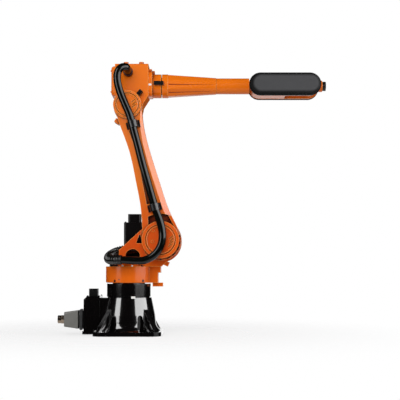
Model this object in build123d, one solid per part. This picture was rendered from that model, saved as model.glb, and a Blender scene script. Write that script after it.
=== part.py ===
from build123d import *
from math import cos, radians, sin, sqrt, tan
import os

# Six-axis industrial robot arm of about 1.6 m working height, in millimetres. The origin is on
# the floor under joint 1, +Z is up, the arm reaches along +X and its near side faces -Y.

# Where the joint axes are
SHOULDER_X = 190.0
SHOULDER_Z = 545.0
UPPER_ARM_LENGTH = 791.0
UPPER_ARM_TILT = 103.85
ELBOW_RISE = 137.0
WRIST_REACH = 1049.0
ELBOW_X = SHOULDER_X + UPPER_ARM_LENGTH * cos(radians(UPPER_ARM_TILT))
ELBOW_Z = SHOULDER_Z + UPPER_ARM_LENGTH * sin(radians(UPPER_ARM_TILT))
FOREARM_Z = ELBOW_Z + ELBOW_RISE
WRIST_X = ELBOW_X + WRIST_REACH

# Clearances
RUNNING_GAP = 5.0
BEARING_GAP = 0.3

# Base casting
FOOT_WIDTH = 390.0
FOOT_CORNER = 60.0
FOOT_THICKNESS = 24.0
FOOT_BOLT_NEAR = 90.0
FOOT_BOLT_FAR = 165.0
FOOT_BOLT_RADIUS = 9.0
SKIRT_FOOT_RADIUS = 184.0
SKIRT_WAIST_RADIUS = 158.0
SKIRT_WAIST_Z = 76.0
FLARE_MIDDLE_RADIUS = 166.0
FLARE_MIDDLE_Z = 45.0
SKIRT_BEND_RADIUS = 154.0
SKIRT_BEND_Z = 115.0
SKIRT_TOP_RADIUS = 133.0
SKIRT_TOP_Z = 215.0
NECK_RADIUS = 128.0
NECK_GROOVE = 5.0
NECK_TOP_Z = 295.0
POCKET_WIDTH = 44.0
POCKET_TOP_WIDTH = 32.0
POCKET_TOP_Z = 115.0
POCKET_BACK_RADIUS = 137.0
RIB_THICKNESS = 30.0
RIB_REACH = 236.0
RIB_BEND_Z = 138.0
RIB_TOP_Z = 168.0
SLEW_BEARING_RADIUS = 95.0
SLEW_BEARING_HEIGHT = 23.0

# Connection box behind the base, with its plug
PAD_X = -160.0
PAD_WIDTH = 172.0
BOX_REAR_X = -252.0
BOX_WIDTH = 184.0
BOX_BOTTOM_Z = 6.0
BOX_TOP_Z = 219.0
BOX_CHAMFER = 14.0
BOX_FOOT_REACH = 7.0
BOX_FOOT_HEIGHT = 18.0
BOX_SIDE_GAP = 1.0
LID_THICKNESS = 5.0
TOP_PLUG_LENGTH = 52.0
TOP_PLUG_CORNER = 6.0
TOP_PLUG_INSET = 13.0
TOP_PLUG_HEIGHT = 47.0
PLUG_Y = -40.0
PLUG_Z = 89.0
PLUG_WIDTH = 48.0
SOCKET_LENGTH = 36.0
SOCKET_HEIGHT = 104.0
SOCKET_CORNER = 5.0
HOOD_LENGTH = 80.0
HOOD_HEIGHT = 106.0
HOOD_CORNER = 6.0
HOOD_END_WIDTH = 44.0
HOOD_END_HEIGHT = 84.0
HOOD_END_CORNER = 12.0
LEVER_THICKNESS = 5.0
LEVER_WIDTH = 16.0
LEVER_CORNER = 6.0
LEVER_OVERLAP = 8.0
GLAND_LENGTH = 37.0
GLAND_RADIUS = 27.0
GLAND_NUT_LENGTH = 17.0
GLAND_COLLAR_RADIUS = 23.0
GLAND_MOUTH_RADIUS = 15.0
GLAND_MOUTH_DEPTH = 7.0

# Turret
RING_RADIUS = 134.0
RING_TOP_Z = 394.0
RING_FILLET = 6.0
RING_BOTTOM_Z = NECK_TOP_Z + RUNNING_GAP
FRONT_LOBE_X = 172.0
FRONT_LOBE_WIDTH = 116.0
FRONT_STEP_X = 187.0
FRONT_STEP_Z = 358.0
STOP_TAB_REACH = 199.0
STOP_TAB_WIDTH = 50.0
STOP_TAB_THICKNESS = 22.0
TURRET_FLOOR = 12.0
CHEEK_NEAR_Y = -84.0
CHEEK_THICKNESS = 38.0
CHEEK_FAR_Y = CHEEK_NEAR_Y + CHEEK_THICKNESS
CHEEK_RADIUS = 119.0
CHEEK_DROP = 9.0
SHOULDER_GEAR_RADIUS = 104.0
SHOULDER_GEAR_FAR_Y = 48.0
PILLAR_REAR_X = 84.0
PILLAR_FAR_Y = 62.0
PILLAR_TOP_DROP = 60.0
LEG_REAR_X = 72.0
LEG_FRONT_X = 193.0
LEG_CORNER_X = 235.0
LEG_CORNER_DROP = 112.0
CONDUIT_SOCKET_X = 70.0
CONDUIT_SOCKET_Y = -13.0
CONDUIT_SOCKET_Z = 498.0
CONDUIT_SOCKET_RADIUS = 33.0
STRUT_REAR_X = -52.0
STRUT_END_LOW_Z = 436.0
STRUT_END_HIGH_Z = 488.0
STRUT_ROOT_BACK = 110.0
STRUT_ROOT_RISE = 64.0
ARCH_REAR_X = -14.0
ARCH_FRONT_X = 69.0
ARCH_SPRING_Z = 456.0
ARCH_TOP_Z = 494.0
WINDOW_REAR_X = 47.0
WINDOW_WIDTH = 36.0
WINDOW_LEAN = 17.0
WINDOW_LOW_Z = 527.0
WINDOW_HEIGHT = 49.0
STOP_BLOCK_LENGTH = 36.0
STOP_BLOCK_HEIGHT = 26.0
STOP_BLOCK_AHEAD = 28.0
STOP_BLOCK_DROP = 133.0
STOP_BLOCK_TURN = -25.0
SHOULDER_BEARING_RADIUS = 74.0
BEARING_DEPTH = 24.0

# Motors: a square body, a smaller cap on its end and a round flange
MOTOR_WIDTH = 110.0
MOTOR_CORNER = 14.0
MOTOR_LENGTH = 222.0
MOTOR_CAP_WIDTH = 76.0
MOTOR_CAP_LENGTH = 50.0
MOTOR_FLANGE_SHARE = 0.47
MOTOR_FLANGE_HEIGHT = 12.0
BASE_MOTOR_X = 22.0
BASE_MOTOR_Y = 75.0
BASE_MOTOR_FOOT_Z = 430.0
BASE_CAP_SHIFT = 6.0
PEDESTAL_RADIUS = 38.0
SHOULDER_MOTOR_LENGTH = 170.0
ELBOW_MOTOR_WIDTH = 96.0
ELBOW_MOTOR_LENGTH = 150.0

# Upper arm
ARM_NEAR_Y = -175.0
ARM_FAR_Y = CHEEK_NEAR_Y - RUNNING_GAP
ARM_BEAM_NEAR_Y = -168.0
ARM_BEAM_FAR_Y = -97.0
ARM_HUB_RADIUS = 118.0
ARM_HUB_FLANGE_Y = -160.0
ARM_HUB_REAR = 104.0
ARM_DRUM_RADIUS = 106.0
ARM_HEAD_RADIUS = 80.5
ARM_BAND = 36.0
ARM_STRIP = 14.0
ARM_BACK_BAND = 18.0
ARM_WEB_DEPTH = 24.0
ARM_WEB_START = 212.0
ARM_WEB_END_BACK = 151.0
BACK_WEB_START = 142.0
HUB_POCKET_RADIUS = 147.0
HUB_POCKET_DEPTH = 28.0
HUB_POCKET_STRIP = 16.0
HUB_RECESS = 6.0
HUB_GROOVE = 7.0
HUB_COVER_THICKNESS = 4.0
HUB_COVER_RADIUS = 80.0
HUB_BOSS_RADIUS = 9.0
HUB_BOSS_PLACES = [(-40.0, 52.0), (-45.0, -11.0)]
HUB_SLOT_LENGTH = 26.0
HUB_SLOT_WIDTH = 6.0
HUB_SLOT_DEPTH = 2.5
HUB_SLOT_TURN = 40.0
HUB_SLOT_PLACES = [(60.0, 12.0), (62.0, -3.0), (60.0, -18.0), (54.0, -33.0)]
HEAD_COVER_RADIUS = 60.0
HEAD_SLOT_PLACES = [(34.0, 20.0), (40.0, 6.0), (38.0, -9.0)]
LUG_LENGTH = 34.0
LUG_HEIGHT = 25.0
LUG_CORNER = 5.0
LUG_BACK = 78.0
LUG_OUT = 77.0
LUG_TURN = 43.0
LUG_INSET = 12.0

# Elbow
HOUSING_REAR = -79.0
HOUSING_FRONT = 114.0
HOUSING_NEAR_Y = -84.0
HOUSING_FAR_Y = 88.0
HOUSING_BOTTOM = -69.0
HOUSING_TOP = 117.0
HOUSING_EDGE = 10.0
REAR_COVER_THICKNESS = 22.0
REAR_COVER_EDGE = 16.0
REAR_COVER_CORNER = 22.0
REAR_COVER_INSET = 4.0
ELBOW_GEAR_RADIUS = 85.0
ELBOW_GEAR_STEP_RADIUS = 76.0
ELBOW_GEAR_STEP_Y = -20.0
ELBOW_GEAR_FAR_Y = 70.0
ELBOW_BEARING_RADIUS = 52.0
GUSSET_HEIGHT = 20.0
GUSSET_REAR = 74.0
GUSSET_FRONT = 71.0
BOSS_RADIUS = 14.0
BOSS_HEIGHT = 12.0
BOSS_PLACES = [-16.0, 73.0]
BOSS_INSET = 26.0
ADAPTER_FLANGE_THICKNESS = 22.0
ADAPTER_FLANGE_WIDTH = 152.0
ADAPTER_FLANGE_HEIGHT = 145.0
ADAPTER_FLANGE_LIFT = 3.5
ADAPTER_FLANGE_CORNER = 40.0
ADAPTER_RADIUS = 69.0
ADAPTER_FRONT = 186.5
# The stepped lug on top of the adapter, as (front, top, width) from the elbow and joint 4's axis
ADAPTER_LUG_STEPS = [(131.0, 98.0, 40.0), (148.0, 88.0, 30.0)]
MARK_COVER_WIDTH = 22.0
MARK_COVER_LENGTH = 57.0
MARK_COVER_HEIGHT = 18.0
MARK_COVER_LIFT = 4.0
MARK_COVER_AHEAD = 16.0
ELBOW_MARK_LENGTH = 34.0
ELBOW_MARK_TURN = 50.5

# Forearm and wrist
FOREARM_FLANGE_LENGTH = 34.0
FOREARM_BEARING_RADIUS = 50.0
CONE_REAR_RADIUS = 68.0
CONE_REAR_CORNER = 4.0
CONE_FRONT = 507.0
CONE_FRONT_RADIUS = 51.7
CONE_FRONT_CORNER = 43.6
TUBE_RADIUS = 46.0
WRIST_LENGTH = 418.0
WRIST_HEIGHT = 133.0
WRIST_INSET = 3.0
WRIST_HALF_DEPTH = 64.0
WRIST_COVER_THICKNESS = 16.0
WRIST_COVER_RIM = 9.0
WRIST_COVER_STEP = 4.0
FORK_GAP = 80.0
FORK_DEPTH = 206.0
HAND_RADIUS = 56.0
HAND_WIDTH = FORK_GAP - 2 * RUNNING_GAP
HAND_PIN_RADIUS = 24.0
HAND_PIN_LENGTH = 10.0
HAND_NOSE_RADIUS = 33.0
HAND_NOSE_REACH = 79.0
TOOL_FLANGE_RADIUS = 27.0
TOOL_FLANGE_THICKNESS = 16.0
TOOL_SHAFT_RADIUS = 17.0
TOOL_SHAFT_LENGTH = 22.0
TOOL_BOLT_COUNT = 4
TOOL_BOLT_CIRCLE = 20.0
TOOL_BOLT_RADIUS = 2.5
TOOL_BOLT_DEPTH = 10.0
TOOL_CENTRING_RADIUS = 12.5
TOOL_CENTRING_DEPTH = 6.0

# Hose
HOSE_RADIUS = 22.0
BEND_SHARE = 0.45
CONDUIT_RADIUS = 28.0
HOSE_Y = -205.0
HOSE_FITTING_RADIUS = 28.0
HOSE_FITTING_LENGTH = 22.0
HOSE_FITTING_X = ELBOW_X - 1.6
HOSE_FITTING_Z = FOREARM_Z + 66.0
CLAMP_RADIUS = 27.0
CLAMP_LENGTH = 40.0
CLAMP_WIDTH = 78.0
CLAMP_PLATE = 8.0
LOWER_CLAMP_AHEAD = 184.0
LOWER_CLAMP_OFFSET = -12.0
UPPER_CLAMP_BACK = 122.0
UPPER_CLAMP_OFFSET = -5.0
BRACKET_LENGTH = 28.0
BRACKET_HEIGHT = 24.0
BRACKET_SETBACK = 28.0
BRACKET_LOW_Z = 426.0
BRACKET_REACH = 5.0


def side_prism(outline, near, far):
    """A prism of a side-view outline, in x and z, between two depths along y."""
    return extrude(Plane.XZ.offset(-far) * outline, amount=far - near, dir=(0, -1, 0))


def end_prism(outline, rear, front):
    """A prism of an end-view outline, in y and z, between two places along x."""
    return extrude(Plane.YZ.offset(rear) * outline, amount=front - rear, dir=(1, 0, 0))


def plan_prism(outline, low, high):
    """A prism of a plan outline between two heights."""
    return extrude(Plane.XY.offset(low) * outline, amount=high - low, dir=(0, 0, 1))


def on_arm(outline):
    """An outline drawn along the upper arm, from joint 2 towards joint 3, set in the side view."""
    return Pos(SHOULDER_X, SHOULDER_Z) * Rot(0, 0, UPPER_ARM_TILT) * outline


def shoulder_disc(radius, near, far):
    return side_prism(Pos(SHOULDER_X, SHOULDER_Z) * Circle(radius), near, far)


def elbow_disc(radius, near, far):
    return side_prism(Pos(ELBOW_X, ELBOW_Z) * Circle(radius), near, far)


def forearm_rod(radius, rear, front):
    """A round bar on joint 4's axis, measured along x from the elbow axis."""
    return end_prism(Pos(0, FOREARM_Z) * Circle(radius), ELBOW_X + rear, ELBOW_X + front)


# Base


def foot_bolt_places():
    pairs = [(FOOT_BOLT_NEAR, FOOT_BOLT_FAR), (FOOT_BOLT_FAR, FOOT_BOLT_NEAR)]
    return [(x * side, y * end) for x, y in pairs for side in (-1, 1) for end in (-1, 1)]


def bolt_pocket(x, y):
    """The arched recess over one foot bolt, open towards the outside."""
    reach = sqrt(x * x + y * y)
    out = Vector(x / reach, y / reach, 0)
    half = POCKET_WIDTH / 2
    top = POCKET_TOP_WIDTH / 2
    spring = POCKET_TOP_Z - top
    arch = Polygon(
        (-half, FOOT_THICKNESS),
        (half, FOOT_THICKNESS),
        (top, spring),
        (-top, spring),
        align=None,
    ) + Pos(0, spring) * Circle(top)
    back = Plane(origin=out * POCKET_BACK_RADIUS, x_dir=(-out.Y, out.X, 0), z_dir=out)
    return extrude(back * arch, amount=FOOT_WIDTH, dir=out)


def base_skirt():
    """The turned body: flared foot, tapered skirt, groove and neck."""
    foot = (SKIRT_FOOT_RADIUS, FOOT_THICKNESS)
    waist = (SKIRT_WAIST_RADIUS, SKIRT_WAIST_Z)
    flare_middle = (FLARE_MIDDLE_RADIUS, FLARE_MIDDLE_Z)
    outline = (
        Polyline((0, 0), (SKIRT_FOOT_RADIUS, 0), foot)
        + ThreePointArc(foot, flare_middle, waist)
        + Polyline(
            waist,
            (SKIRT_BEND_RADIUS, SKIRT_BEND_Z),
            (SKIRT_TOP_RADIUS, SKIRT_TOP_Z),
            (NECK_RADIUS - NECK_GROOVE, SKIRT_TOP_Z),
            (NECK_RADIUS - NECK_GROOVE, SKIRT_TOP_Z + NECK_GROOVE),
            (NECK_RADIUS, SKIRT_TOP_Z + NECK_GROOVE),
            (NECK_RADIUS, NECK_TOP_Z),
            (0, NECK_TOP_Z),
            (0, 0),
        )
    )
    return revolve(Plane.XZ * make_face(outline), Axis.Z)


def corner_rib(angle):
    rib = Polygon(
        (0, 0),
        (RIB_REACH, 0),
        (RIB_REACH, FOOT_THICKNESS),
        (SKIRT_BEND_RADIUS, RIB_BEND_Z),
        (SKIRT_TOP_RADIUS, RIB_TOP_Z),
        (0, RIB_TOP_Z),
        align=None,
    )
    return Rot(0, 0, angle) * side_prism(rib, -RIB_THICKNESS / 2, RIB_THICKNESS / 2)


def base_casting():
    foot = RectangleRounded(FOOT_WIDTH, FOOT_WIDTH, FOOT_CORNER)
    body = base_skirt() + plan_prism(foot, 0, FOOT_THICKNESS)
    for corner in range(4):
        body += corner_rib(45 + 90 * corner)
    for x, y in foot_bolt_places():
        body -= bolt_pocket(x, y)
        body -= plan_prism(Pos(x, y) * Circle(FOOT_BOLT_RADIUS), 0, FOOT_THICKNESS)
    pad = Pos(PAD_X / 2, 0) * Rectangle(-PAD_X, PAD_WIDTH)
    body += plan_prism(pad, FOOT_THICKNESS, SKIRT_TOP_Z) - plan_prism(
        Circle(NECK_RADIUS), FOOT_THICKNESS, SKIRT_TOP_Z
    )
    bay_width = BOX_WIDTH + 2 * BOX_SIDE_GAP
    bay = Pos(PAD_X, 0) * Rectangle(FOOT_WIDTH, bay_width, align=(Align.MAX, Align.CENTER))
    body -= plan_prism(bay, FOOT_THICKNESS, BOX_TOP_Z)
    bearing_top = NECK_TOP_Z + SLEW_BEARING_HEIGHT
    return body + plan_prism(Circle(SLEW_BEARING_RADIUS), NECK_TOP_Z, bearing_top)


def connection_box():
    foot_x = BOX_REAR_X - BOX_FOOT_REACH
    foot_top = BOX_BOTTOM_Z + BOX_FOOT_HEIGHT
    outline = Polygon(
        (PAD_X, BOX_BOTTOM_Z + FOOT_THICKNESS),
        (PAD_X, BOX_TOP_Z),
        (BOX_REAR_X + BOX_CHAMFER, BOX_TOP_Z),
        (BOX_REAR_X, BOX_TOP_Z - BOX_CHAMFER),
        (BOX_REAR_X, foot_top),
        (foot_x, foot_top),
        (foot_x, BOX_BOTTOM_Z),
        (-FOOT_WIDTH / 2 - BOX_SIDE_GAP, BOX_BOTTOM_Z),
        (-FOOT_WIDTH / 2 - BOX_SIDE_GAP, BOX_BOTTOM_Z + FOOT_THICKNESS),
        align=None,
    )
    return side_prism(outline, -BOX_WIDTH / 2, BOX_WIDTH / 2)


def box_lid():
    plate = Rectangle(
        PAD_X - BOX_REAR_X - BOX_CHAMFER, BOX_WIDTH - 2 * BOX_CHAMFER, align=(Align.MIN, Align.CENTER)
    )
    return plan_prism(Pos(BOX_REAR_X + BOX_CHAMFER, 0) * plate, BOX_TOP_Z, BOX_TOP_Z + LID_THICKNESS)


def box_top_plug():
    low = BOX_TOP_Z + LID_THICKNESS
    rear = BOX_REAR_X + BOX_CHAMFER + TOP_PLUG_INSET
    plug = RectangleRounded(TOP_PLUG_LENGTH, TOP_PLUG_LENGTH, TOP_PLUG_CORNER)
    place = Pos(rear + TOP_PLUG_LENGTH / 2, PLUG_Y)
    return plan_prism(place * plug, low, BOX_TOP_Z + TOP_PLUG_HEIGHT)


def connector_socket():
    """The half of the plug that is screwed to the box."""
    shell = Pos(PLUG_Y, PLUG_Z) * RectangleRounded(PLUG_WIDTH, SOCKET_HEIGHT, SOCKET_CORNER)
    return end_prism(shell, BOX_REAR_X - SOCKET_LENGTH, BOX_REAR_X)


def connector_hood():
    """The half that comes off with the cable, narrower towards the gland."""
    mouth = BOX_REAR_X - SOCKET_LENGTH
    end = mouth - HOOD_LENGTH
    wide = Pos(PLUG_Y, PLUG_Z) * RectangleRounded(PLUG_WIDTH, HOOD_HEIGHT, HOOD_CORNER)
    slim = Pos(PLUG_Y, PLUG_Z) * RectangleRounded(HOOD_END_WIDTH, HOOD_END_HEIGHT, HOOD_END_CORNER)
    return loft([Plane.YZ.offset(mouth) * wide, Plane.YZ.offset(end) * slim])


def locking_lever():
    """The stirrup over the socket that pulls the hood on, a bar on each side and one across."""
    near = PLUG_Y - PLUG_WIDTH / 2 - LEVER_THICKNESS
    far = PLUG_Y + PLUG_WIDTH / 2 + LEVER_THICKNESS
    middle = BOX_REAR_X - SOCKET_LENGTH / 2
    bars = RectangleRounded(LEVER_WIDTH, SOCKET_HEIGHT + 2 * LEVER_OVERLAP, LEVER_CORNER)
    lever = side_prism(Pos(middle, PLUG_Z) * bars, near, far)
    inside = Pos(middle, PLUG_Z) * Rectangle(2 * LEVER_WIDTH, SOCKET_HEIGHT)
    return lever - side_prism(inside, near + LEVER_THICKNESS, far - LEVER_THICKNESS)


def cable_gland():
    root = BOX_REAR_X - SOCKET_LENGTH - HOOD_LENGTH
    nut_rear = root - GLAND_NUT_LENGTH
    mouth_rear = root - GLAND_LENGTH
    place = Pos(PLUG_Y, PLUG_Z)
    nut = end_prism(place * RegularPolygon(GLAND_RADIUS, 6), nut_rear, root)
    collar = end_prism(place * Circle(GLAND_COLLAR_RADIUS), mouth_rear, nut_rear)
    mouth = end_prism(place * Circle(GLAND_MOUTH_RADIUS), mouth_rear, mouth_rear + GLAND_MOUTH_DEPTH)
    return nut + collar - mouth


# Turret


def turret_ring():
    ring = plan_prism(Circle(RING_RADIUS), RING_BOTTOM_Z, RING_TOP_Z)
    ring = fillet(ring.edges().group_by(Axis.Z)[0], RING_FILLET)
    for front, low in ((FRONT_LOBE_X, RING_BOTTOM_Z), (FRONT_STEP_X, FRONT_STEP_Z)):
        lobe = Rectangle(front, FRONT_LOBE_WIDTH, align=(Align.MIN, Align.CENTER))
        ring += plan_prism(lobe, low, RING_TOP_Z)
    recess = Circle(SLEW_BEARING_RADIUS + BEARING_GAP)
    recess_top = NECK_TOP_Z + SLEW_BEARING_HEIGHT + BEARING_GAP
    return ring - plan_prism(recess, RING_BOTTOM_Z, recess_top)


def j1_stop_tab():
    length = STOP_TAB_REACH - RING_RADIUS - RUNNING_GAP
    tab = Rectangle(length, STOP_TAB_WIDTH, align=(Align.MAX, Align.CENTER))
    return plan_prism(Pos(STOP_TAB_REACH, 0) * tab, RING_BOTTOM_Z - STOP_TAB_THICKNESS, RING_BOTTOM_Z)


def cheek_outline():
    """The near cheek: strut to the rear, arch, leg down to the ring and round shoulder."""
    arch_rear = (ARCH_REAR_X, ARCH_SPRING_Z)
    arch_top = ((ARCH_REAR_X + ARCH_FRONT_X) / 2, ARCH_TOP_Z)
    arch_front = (ARCH_FRONT_X, ARCH_SPRING_Z)
    strut_root = (SHOULDER_X - STRUT_ROOT_BACK, SHOULDER_Z + STRUT_ROOT_RISE)
    edges = Polyline(
        strut_root,
        (STRUT_REAR_X, STRUT_END_HIGH_Z),
        (STRUT_REAR_X, STRUT_END_LOW_Z),
        (ARCH_REAR_X, STRUT_END_LOW_Z),
        arch_rear,
    )
    edges += ThreePointArc(arch_rear, arch_top, arch_front)
    edges += Polyline(
        arch_front,
        (LEG_REAR_X, RING_TOP_Z),
        (LEG_FRONT_X, RING_TOP_Z),
        (LEG_CORNER_X, SHOULDER_Z - LEG_CORNER_DROP),
        (SHOULDER_X, SHOULDER_Z),
        strut_root,
    )
    return make_face(edges) + Pos(SHOULDER_X, SHOULDER_Z - CHEEK_DROP) * Circle(CHEEK_RADIUS)


def cheek_window():
    """The hole between the strut and the shoulder, which the hub half covers."""
    front = WINDOW_REAR_X + WINDOW_WIDTH
    top = WINDOW_LOW_Z + WINDOW_HEIGHT
    return Polygon(
        (WINDOW_REAR_X, WINDOW_LOW_Z),
        (front, WINDOW_LOW_Z),
        (front, top),
        (WINDOW_REAR_X + WINDOW_LEAN, top),
        align=None,
    )


def turret_casting():
    body = side_prism(cheek_outline() - cheek_window(), CHEEK_NEAR_Y, CHEEK_FAR_Y)
    body += shoulder_disc(SHOULDER_GEAR_RADIUS, CHEEK_FAR_Y, SHOULDER_GEAR_FAR_Y)
    pillar_depth = PILLAR_FAR_Y - CHEEK_NEAR_Y
    pillar = Rectangle(LEG_FRONT_X - PILLAR_REAR_X, pillar_depth, align=(Align.MIN, Align.MIN))
    pillar_top = SHOULDER_Z - PILLAR_TOP_DROP
    body += plan_prism(Pos(PILLAR_REAR_X, CHEEK_NEAR_Y) * pillar, RING_TOP_Z, pillar_top)
    floor = Rectangle(PILLAR_REAR_X - BASE_MOTOR_X, PEDESTAL_RADIUS, align=(Align.MIN, Align.MAX))
    floor_top = RING_TOP_Z + TURRET_FLOOR
    body += plan_prism(Pos(BASE_MOTOR_X, BASE_MOTOR_Y) * floor, RING_TOP_Z, floor_top)
    pedestal = Pos(BASE_MOTOR_X, BASE_MOTOR_Y) * Circle(PEDESTAL_RADIUS)
    body += plan_prism(pedestal, RING_TOP_Z, BASE_MOTOR_FOOT_Z)
    socket = Pos(CONDUIT_SOCKET_Y, CONDUIT_SOCKET_Z) * Circle(CONDUIT_SOCKET_RADIUS)
    body += end_prism(socket, CONDUIT_SOCKET_X, SHOULDER_X - CONDUIT_SOCKET_RADIUS)
    return body + shoulder_disc(
        SHOULDER_BEARING_RADIUS, CHEEK_NEAR_Y - BEARING_DEPTH, CHEEK_NEAR_Y
    )


def j2_stop_block():
    place = Pos(SHOULDER_X + STOP_BLOCK_AHEAD, SHOULDER_Z - STOP_BLOCK_DROP)
    block = place * Rot(0, 0, STOP_BLOCK_TURN) * Rectangle(STOP_BLOCK_LENGTH, STOP_BLOCK_HEIGHT)
    return side_prism(block - cheek_outline(), CHEEK_NEAR_Y, CHEEK_FAR_Y)


def motor(width, length):
    """A motor standing on its round flange, with its axis up from the origin."""
    foot = plan_prism(Circle(MOTOR_FLANGE_SHARE * width), 0, MOTOR_FLANGE_HEIGHT)
    body = RectangleRounded(width, width, MOTOR_CORNER)
    return foot + plan_prism(body, MOTOR_FLANGE_HEIGHT, length)


def motor_cap(width, low, high):
    return plan_prism(RectangleRounded(width, width, MOTOR_CORNER), low, high)


def base_motor_place():
    return Pos(BASE_MOTOR_X, BASE_MOTOR_Y, BASE_MOTOR_FOOT_Z)


def shoulder_motor_place():
    return Pos(SHOULDER_X, SHOULDER_GEAR_FAR_Y, SHOULDER_Z) * Rot(-90, 0, 0)


def elbow_motor_place():
    return Pos(ELBOW_X, ELBOW_GEAR_FAR_Y, ELBOW_Z) * Rot(-90, 0, 0)


# Upper arm

# Half widths of the beam, as (share of the way to joint 3, half width), on its rear and front sides
REAR_SHAPE = [(0, 104), (0.1, 86), (0.29, 62.5), (0.42, 57.4), (0.68, 52.6), (0.86, 67.7), (1, 76)]
FRONT_SHAPE = [(0, 113), (0.09, 104), (0.15, 93), (0.39, 73), (0.65, 60), (0.88, 65), (0.94, 72), (1, 77)]
BEAM_REAR = [(share * UPPER_ARM_LENGTH, width) for share, width in REAR_SHAPE]
BEAM_FRONT = [(share * UPPER_ARM_LENGTH, width) for share, width in FRONT_SHAPE]
# The near front edge's bevel at the front side's points, from the third to the last but one
BEVEL_WIDTHS = [31.0, 29.0, 26.0, 13.0, 5.0]
BEVEL_OVERCUT = 2.0


def beam_outline(rear_inset, front_inset, start, end):
    """The beam's side view between two distances along it, drawn in from its two edges."""
    rear = [(s, w - rear_inset) for s, w in BEAM_REAR]
    front = [(s, front_inset - w) for s, w in BEAM_FRONT]
    edges = Spline(rear) + Line(rear[-1], front[-1]) + Spline(front[::-1]) + Line(front[0], rear[0])
    window = Pos((start + end) / 2, 0) * Rectangle(end - start, 4 * ARM_HUB_RADIUS)
    return make_face(edges) & window


def front_bevel():
    """The wedge cut off the beam's near front edge, widest above the hub and fading at the elbow."""
    tilt = radians(UPPER_ARM_TILT)
    along = Vector(cos(tilt), 0, sin(tilt))
    rearward = Vector(-sin(tilt), 0, cos(tilt))
    sections = []
    for (distance, half), width in zip(BEAM_FRONT[2:-1], BEVEL_WIDTHS):
        outside = -half - BEVEL_OVERCUT
        inside = -half + width + BEVEL_OVERCUT
        near = BEVEL_OVERCUT - ARM_BEAM_NEAR_Y
        deep = -ARM_BEAM_NEAR_Y - width - BEVEL_OVERCUT
        origin = Vector(SHOULDER_X, 0, SHOULDER_Z) + along * distance
        wedge = Polygon((inside, near), (outside, near), (outside, deep), align=None)
        sections.append(Plane(origin=origin, x_dir=rearward, z_dir=along) * wedge)
    return loft(sections)


def upper_arm_casting():
    beam = side_prism(on_arm(beam_outline(0, 0, 0, UPPER_ARM_LENGTH)), ARM_BEAM_NEAR_Y, ARM_BEAM_FAR_Y)
    web_end = UPPER_ARM_LENGTH - ARM_WEB_END_BACK
    web = on_arm(beam_outline(ARM_BAND, BEVEL_WIDTHS[0] + ARM_STRIP, ARM_WEB_START, web_end))
    beam -= side_prism(web, ARM_BEAM_NEAR_Y, ARM_BEAM_NEAR_Y + ARM_WEB_DEPTH)
    back = on_arm(beam_outline(ARM_BACK_BAND, ARM_STRIP, BACK_WEB_START, web_end))
    beam -= side_prism(back, ARM_BEAM_FAR_Y - ARM_WEB_DEPTH, ARM_BEAM_FAR_Y)
    lug_place = Pos(UPPER_ARM_LENGTH - LUG_BACK, LUG_OUT) * Rot(0, 0, LUG_TURN)
    lug = on_arm(lug_place * RectangleRounded(LUG_LENGTH, LUG_HEIGHT, LUG_CORNER))
    beam += side_prism(lug, ARM_BEAM_NEAR_Y + LUG_INSET, ARM_BEAM_FAR_Y - LUG_INSET)
    beam -= front_bevel()
    behind = Rectangle(4 * ARM_HUB_RADIUS, ARM_HUB_RADIUS, align=(Align.CENTER, Align.MIN))
    flange = on_arm(Circle(ARM_HUB_RADIUS) - Pos(0, ARM_HUB_REAR) * behind)
    body = beam + side_prism(flange, ARM_HUB_FLANGE_Y, ARM_FAR_Y)
    pocket = Circle(HUB_POCKET_RADIUS) - Circle(ARM_DRUM_RADIUS)
    pocket = pocket & beam_outline(ARM_BAND, HUB_POCKET_STRIP, 0, UPPER_ARM_LENGTH)
    body -= side_prism(on_arm(pocket), ARM_NEAR_Y, ARM_BEAM_NEAR_Y + HUB_POCKET_DEPTH)
    body += shoulder_disc(ARM_DRUM_RADIUS, ARM_NEAR_Y, ARM_FAR_Y)
    body += elbow_disc(ARM_HEAD_RADIUS, ARM_NEAR_Y, ARM_FAR_Y)
    body -= shoulder_disc(HUB_COVER_RADIUS + HUB_GROOVE, ARM_NEAR_Y, ARM_NEAR_Y + HUB_RECESS)
    body -= elbow_disc(HEAD_COVER_RADIUS + HUB_GROOVE, ARM_NEAR_Y, ARM_NEAR_Y + HUB_RECESS)
    seat = CHEEK_NEAR_Y - BEARING_DEPTH - BEARING_GAP
    body -= shoulder_disc(SHOULDER_BEARING_RADIUS + BEARING_GAP, seat, ARM_FAR_Y)
    return body - elbow_disc(ELBOW_BEARING_RADIUS + BEARING_GAP, seat, ARM_FAR_Y)


def cover_slots(centre, places):
    """Slanted grooves in a hub cover's near face."""
    face = ARM_NEAR_Y + HUB_RECESS - HUB_COVER_THICKNESS
    slot = Rot(0, 0, HUB_SLOT_TURN) * SlotOverall(HUB_SLOT_LENGTH, HUB_SLOT_WIDTH)
    return [side_prism(centre * Pos(*place) * slot, face, face + HUB_SLOT_DEPTH) for place in places]


def j2_hub_cover():
    """The cover in the hub's recess, with two bosses and a row of slanted grooves."""
    floor = ARM_NEAR_Y + HUB_RECESS
    centre = Pos(SHOULDER_X, SHOULDER_Z)
    cover = shoulder_disc(HUB_COVER_RADIUS, floor - HUB_COVER_THICKNESS, floor)
    for place in HUB_BOSS_PLACES:
        cover += side_prism(centre * Pos(*place) * Circle(HUB_BOSS_RADIUS), ARM_NEAR_Y, floor)
    return cover - cover_slots(centre, HUB_SLOT_PLACES)


def j3_hub_cover():
    floor = ARM_NEAR_Y + HUB_RECESS
    cover = elbow_disc(HEAD_COVER_RADIUS, floor - HUB_COVER_THICKNESS, floor)
    return cover - cover_slots(Pos(ELBOW_X, ELBOW_Z), HEAD_SLOT_PLACES)


# Elbow


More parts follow.
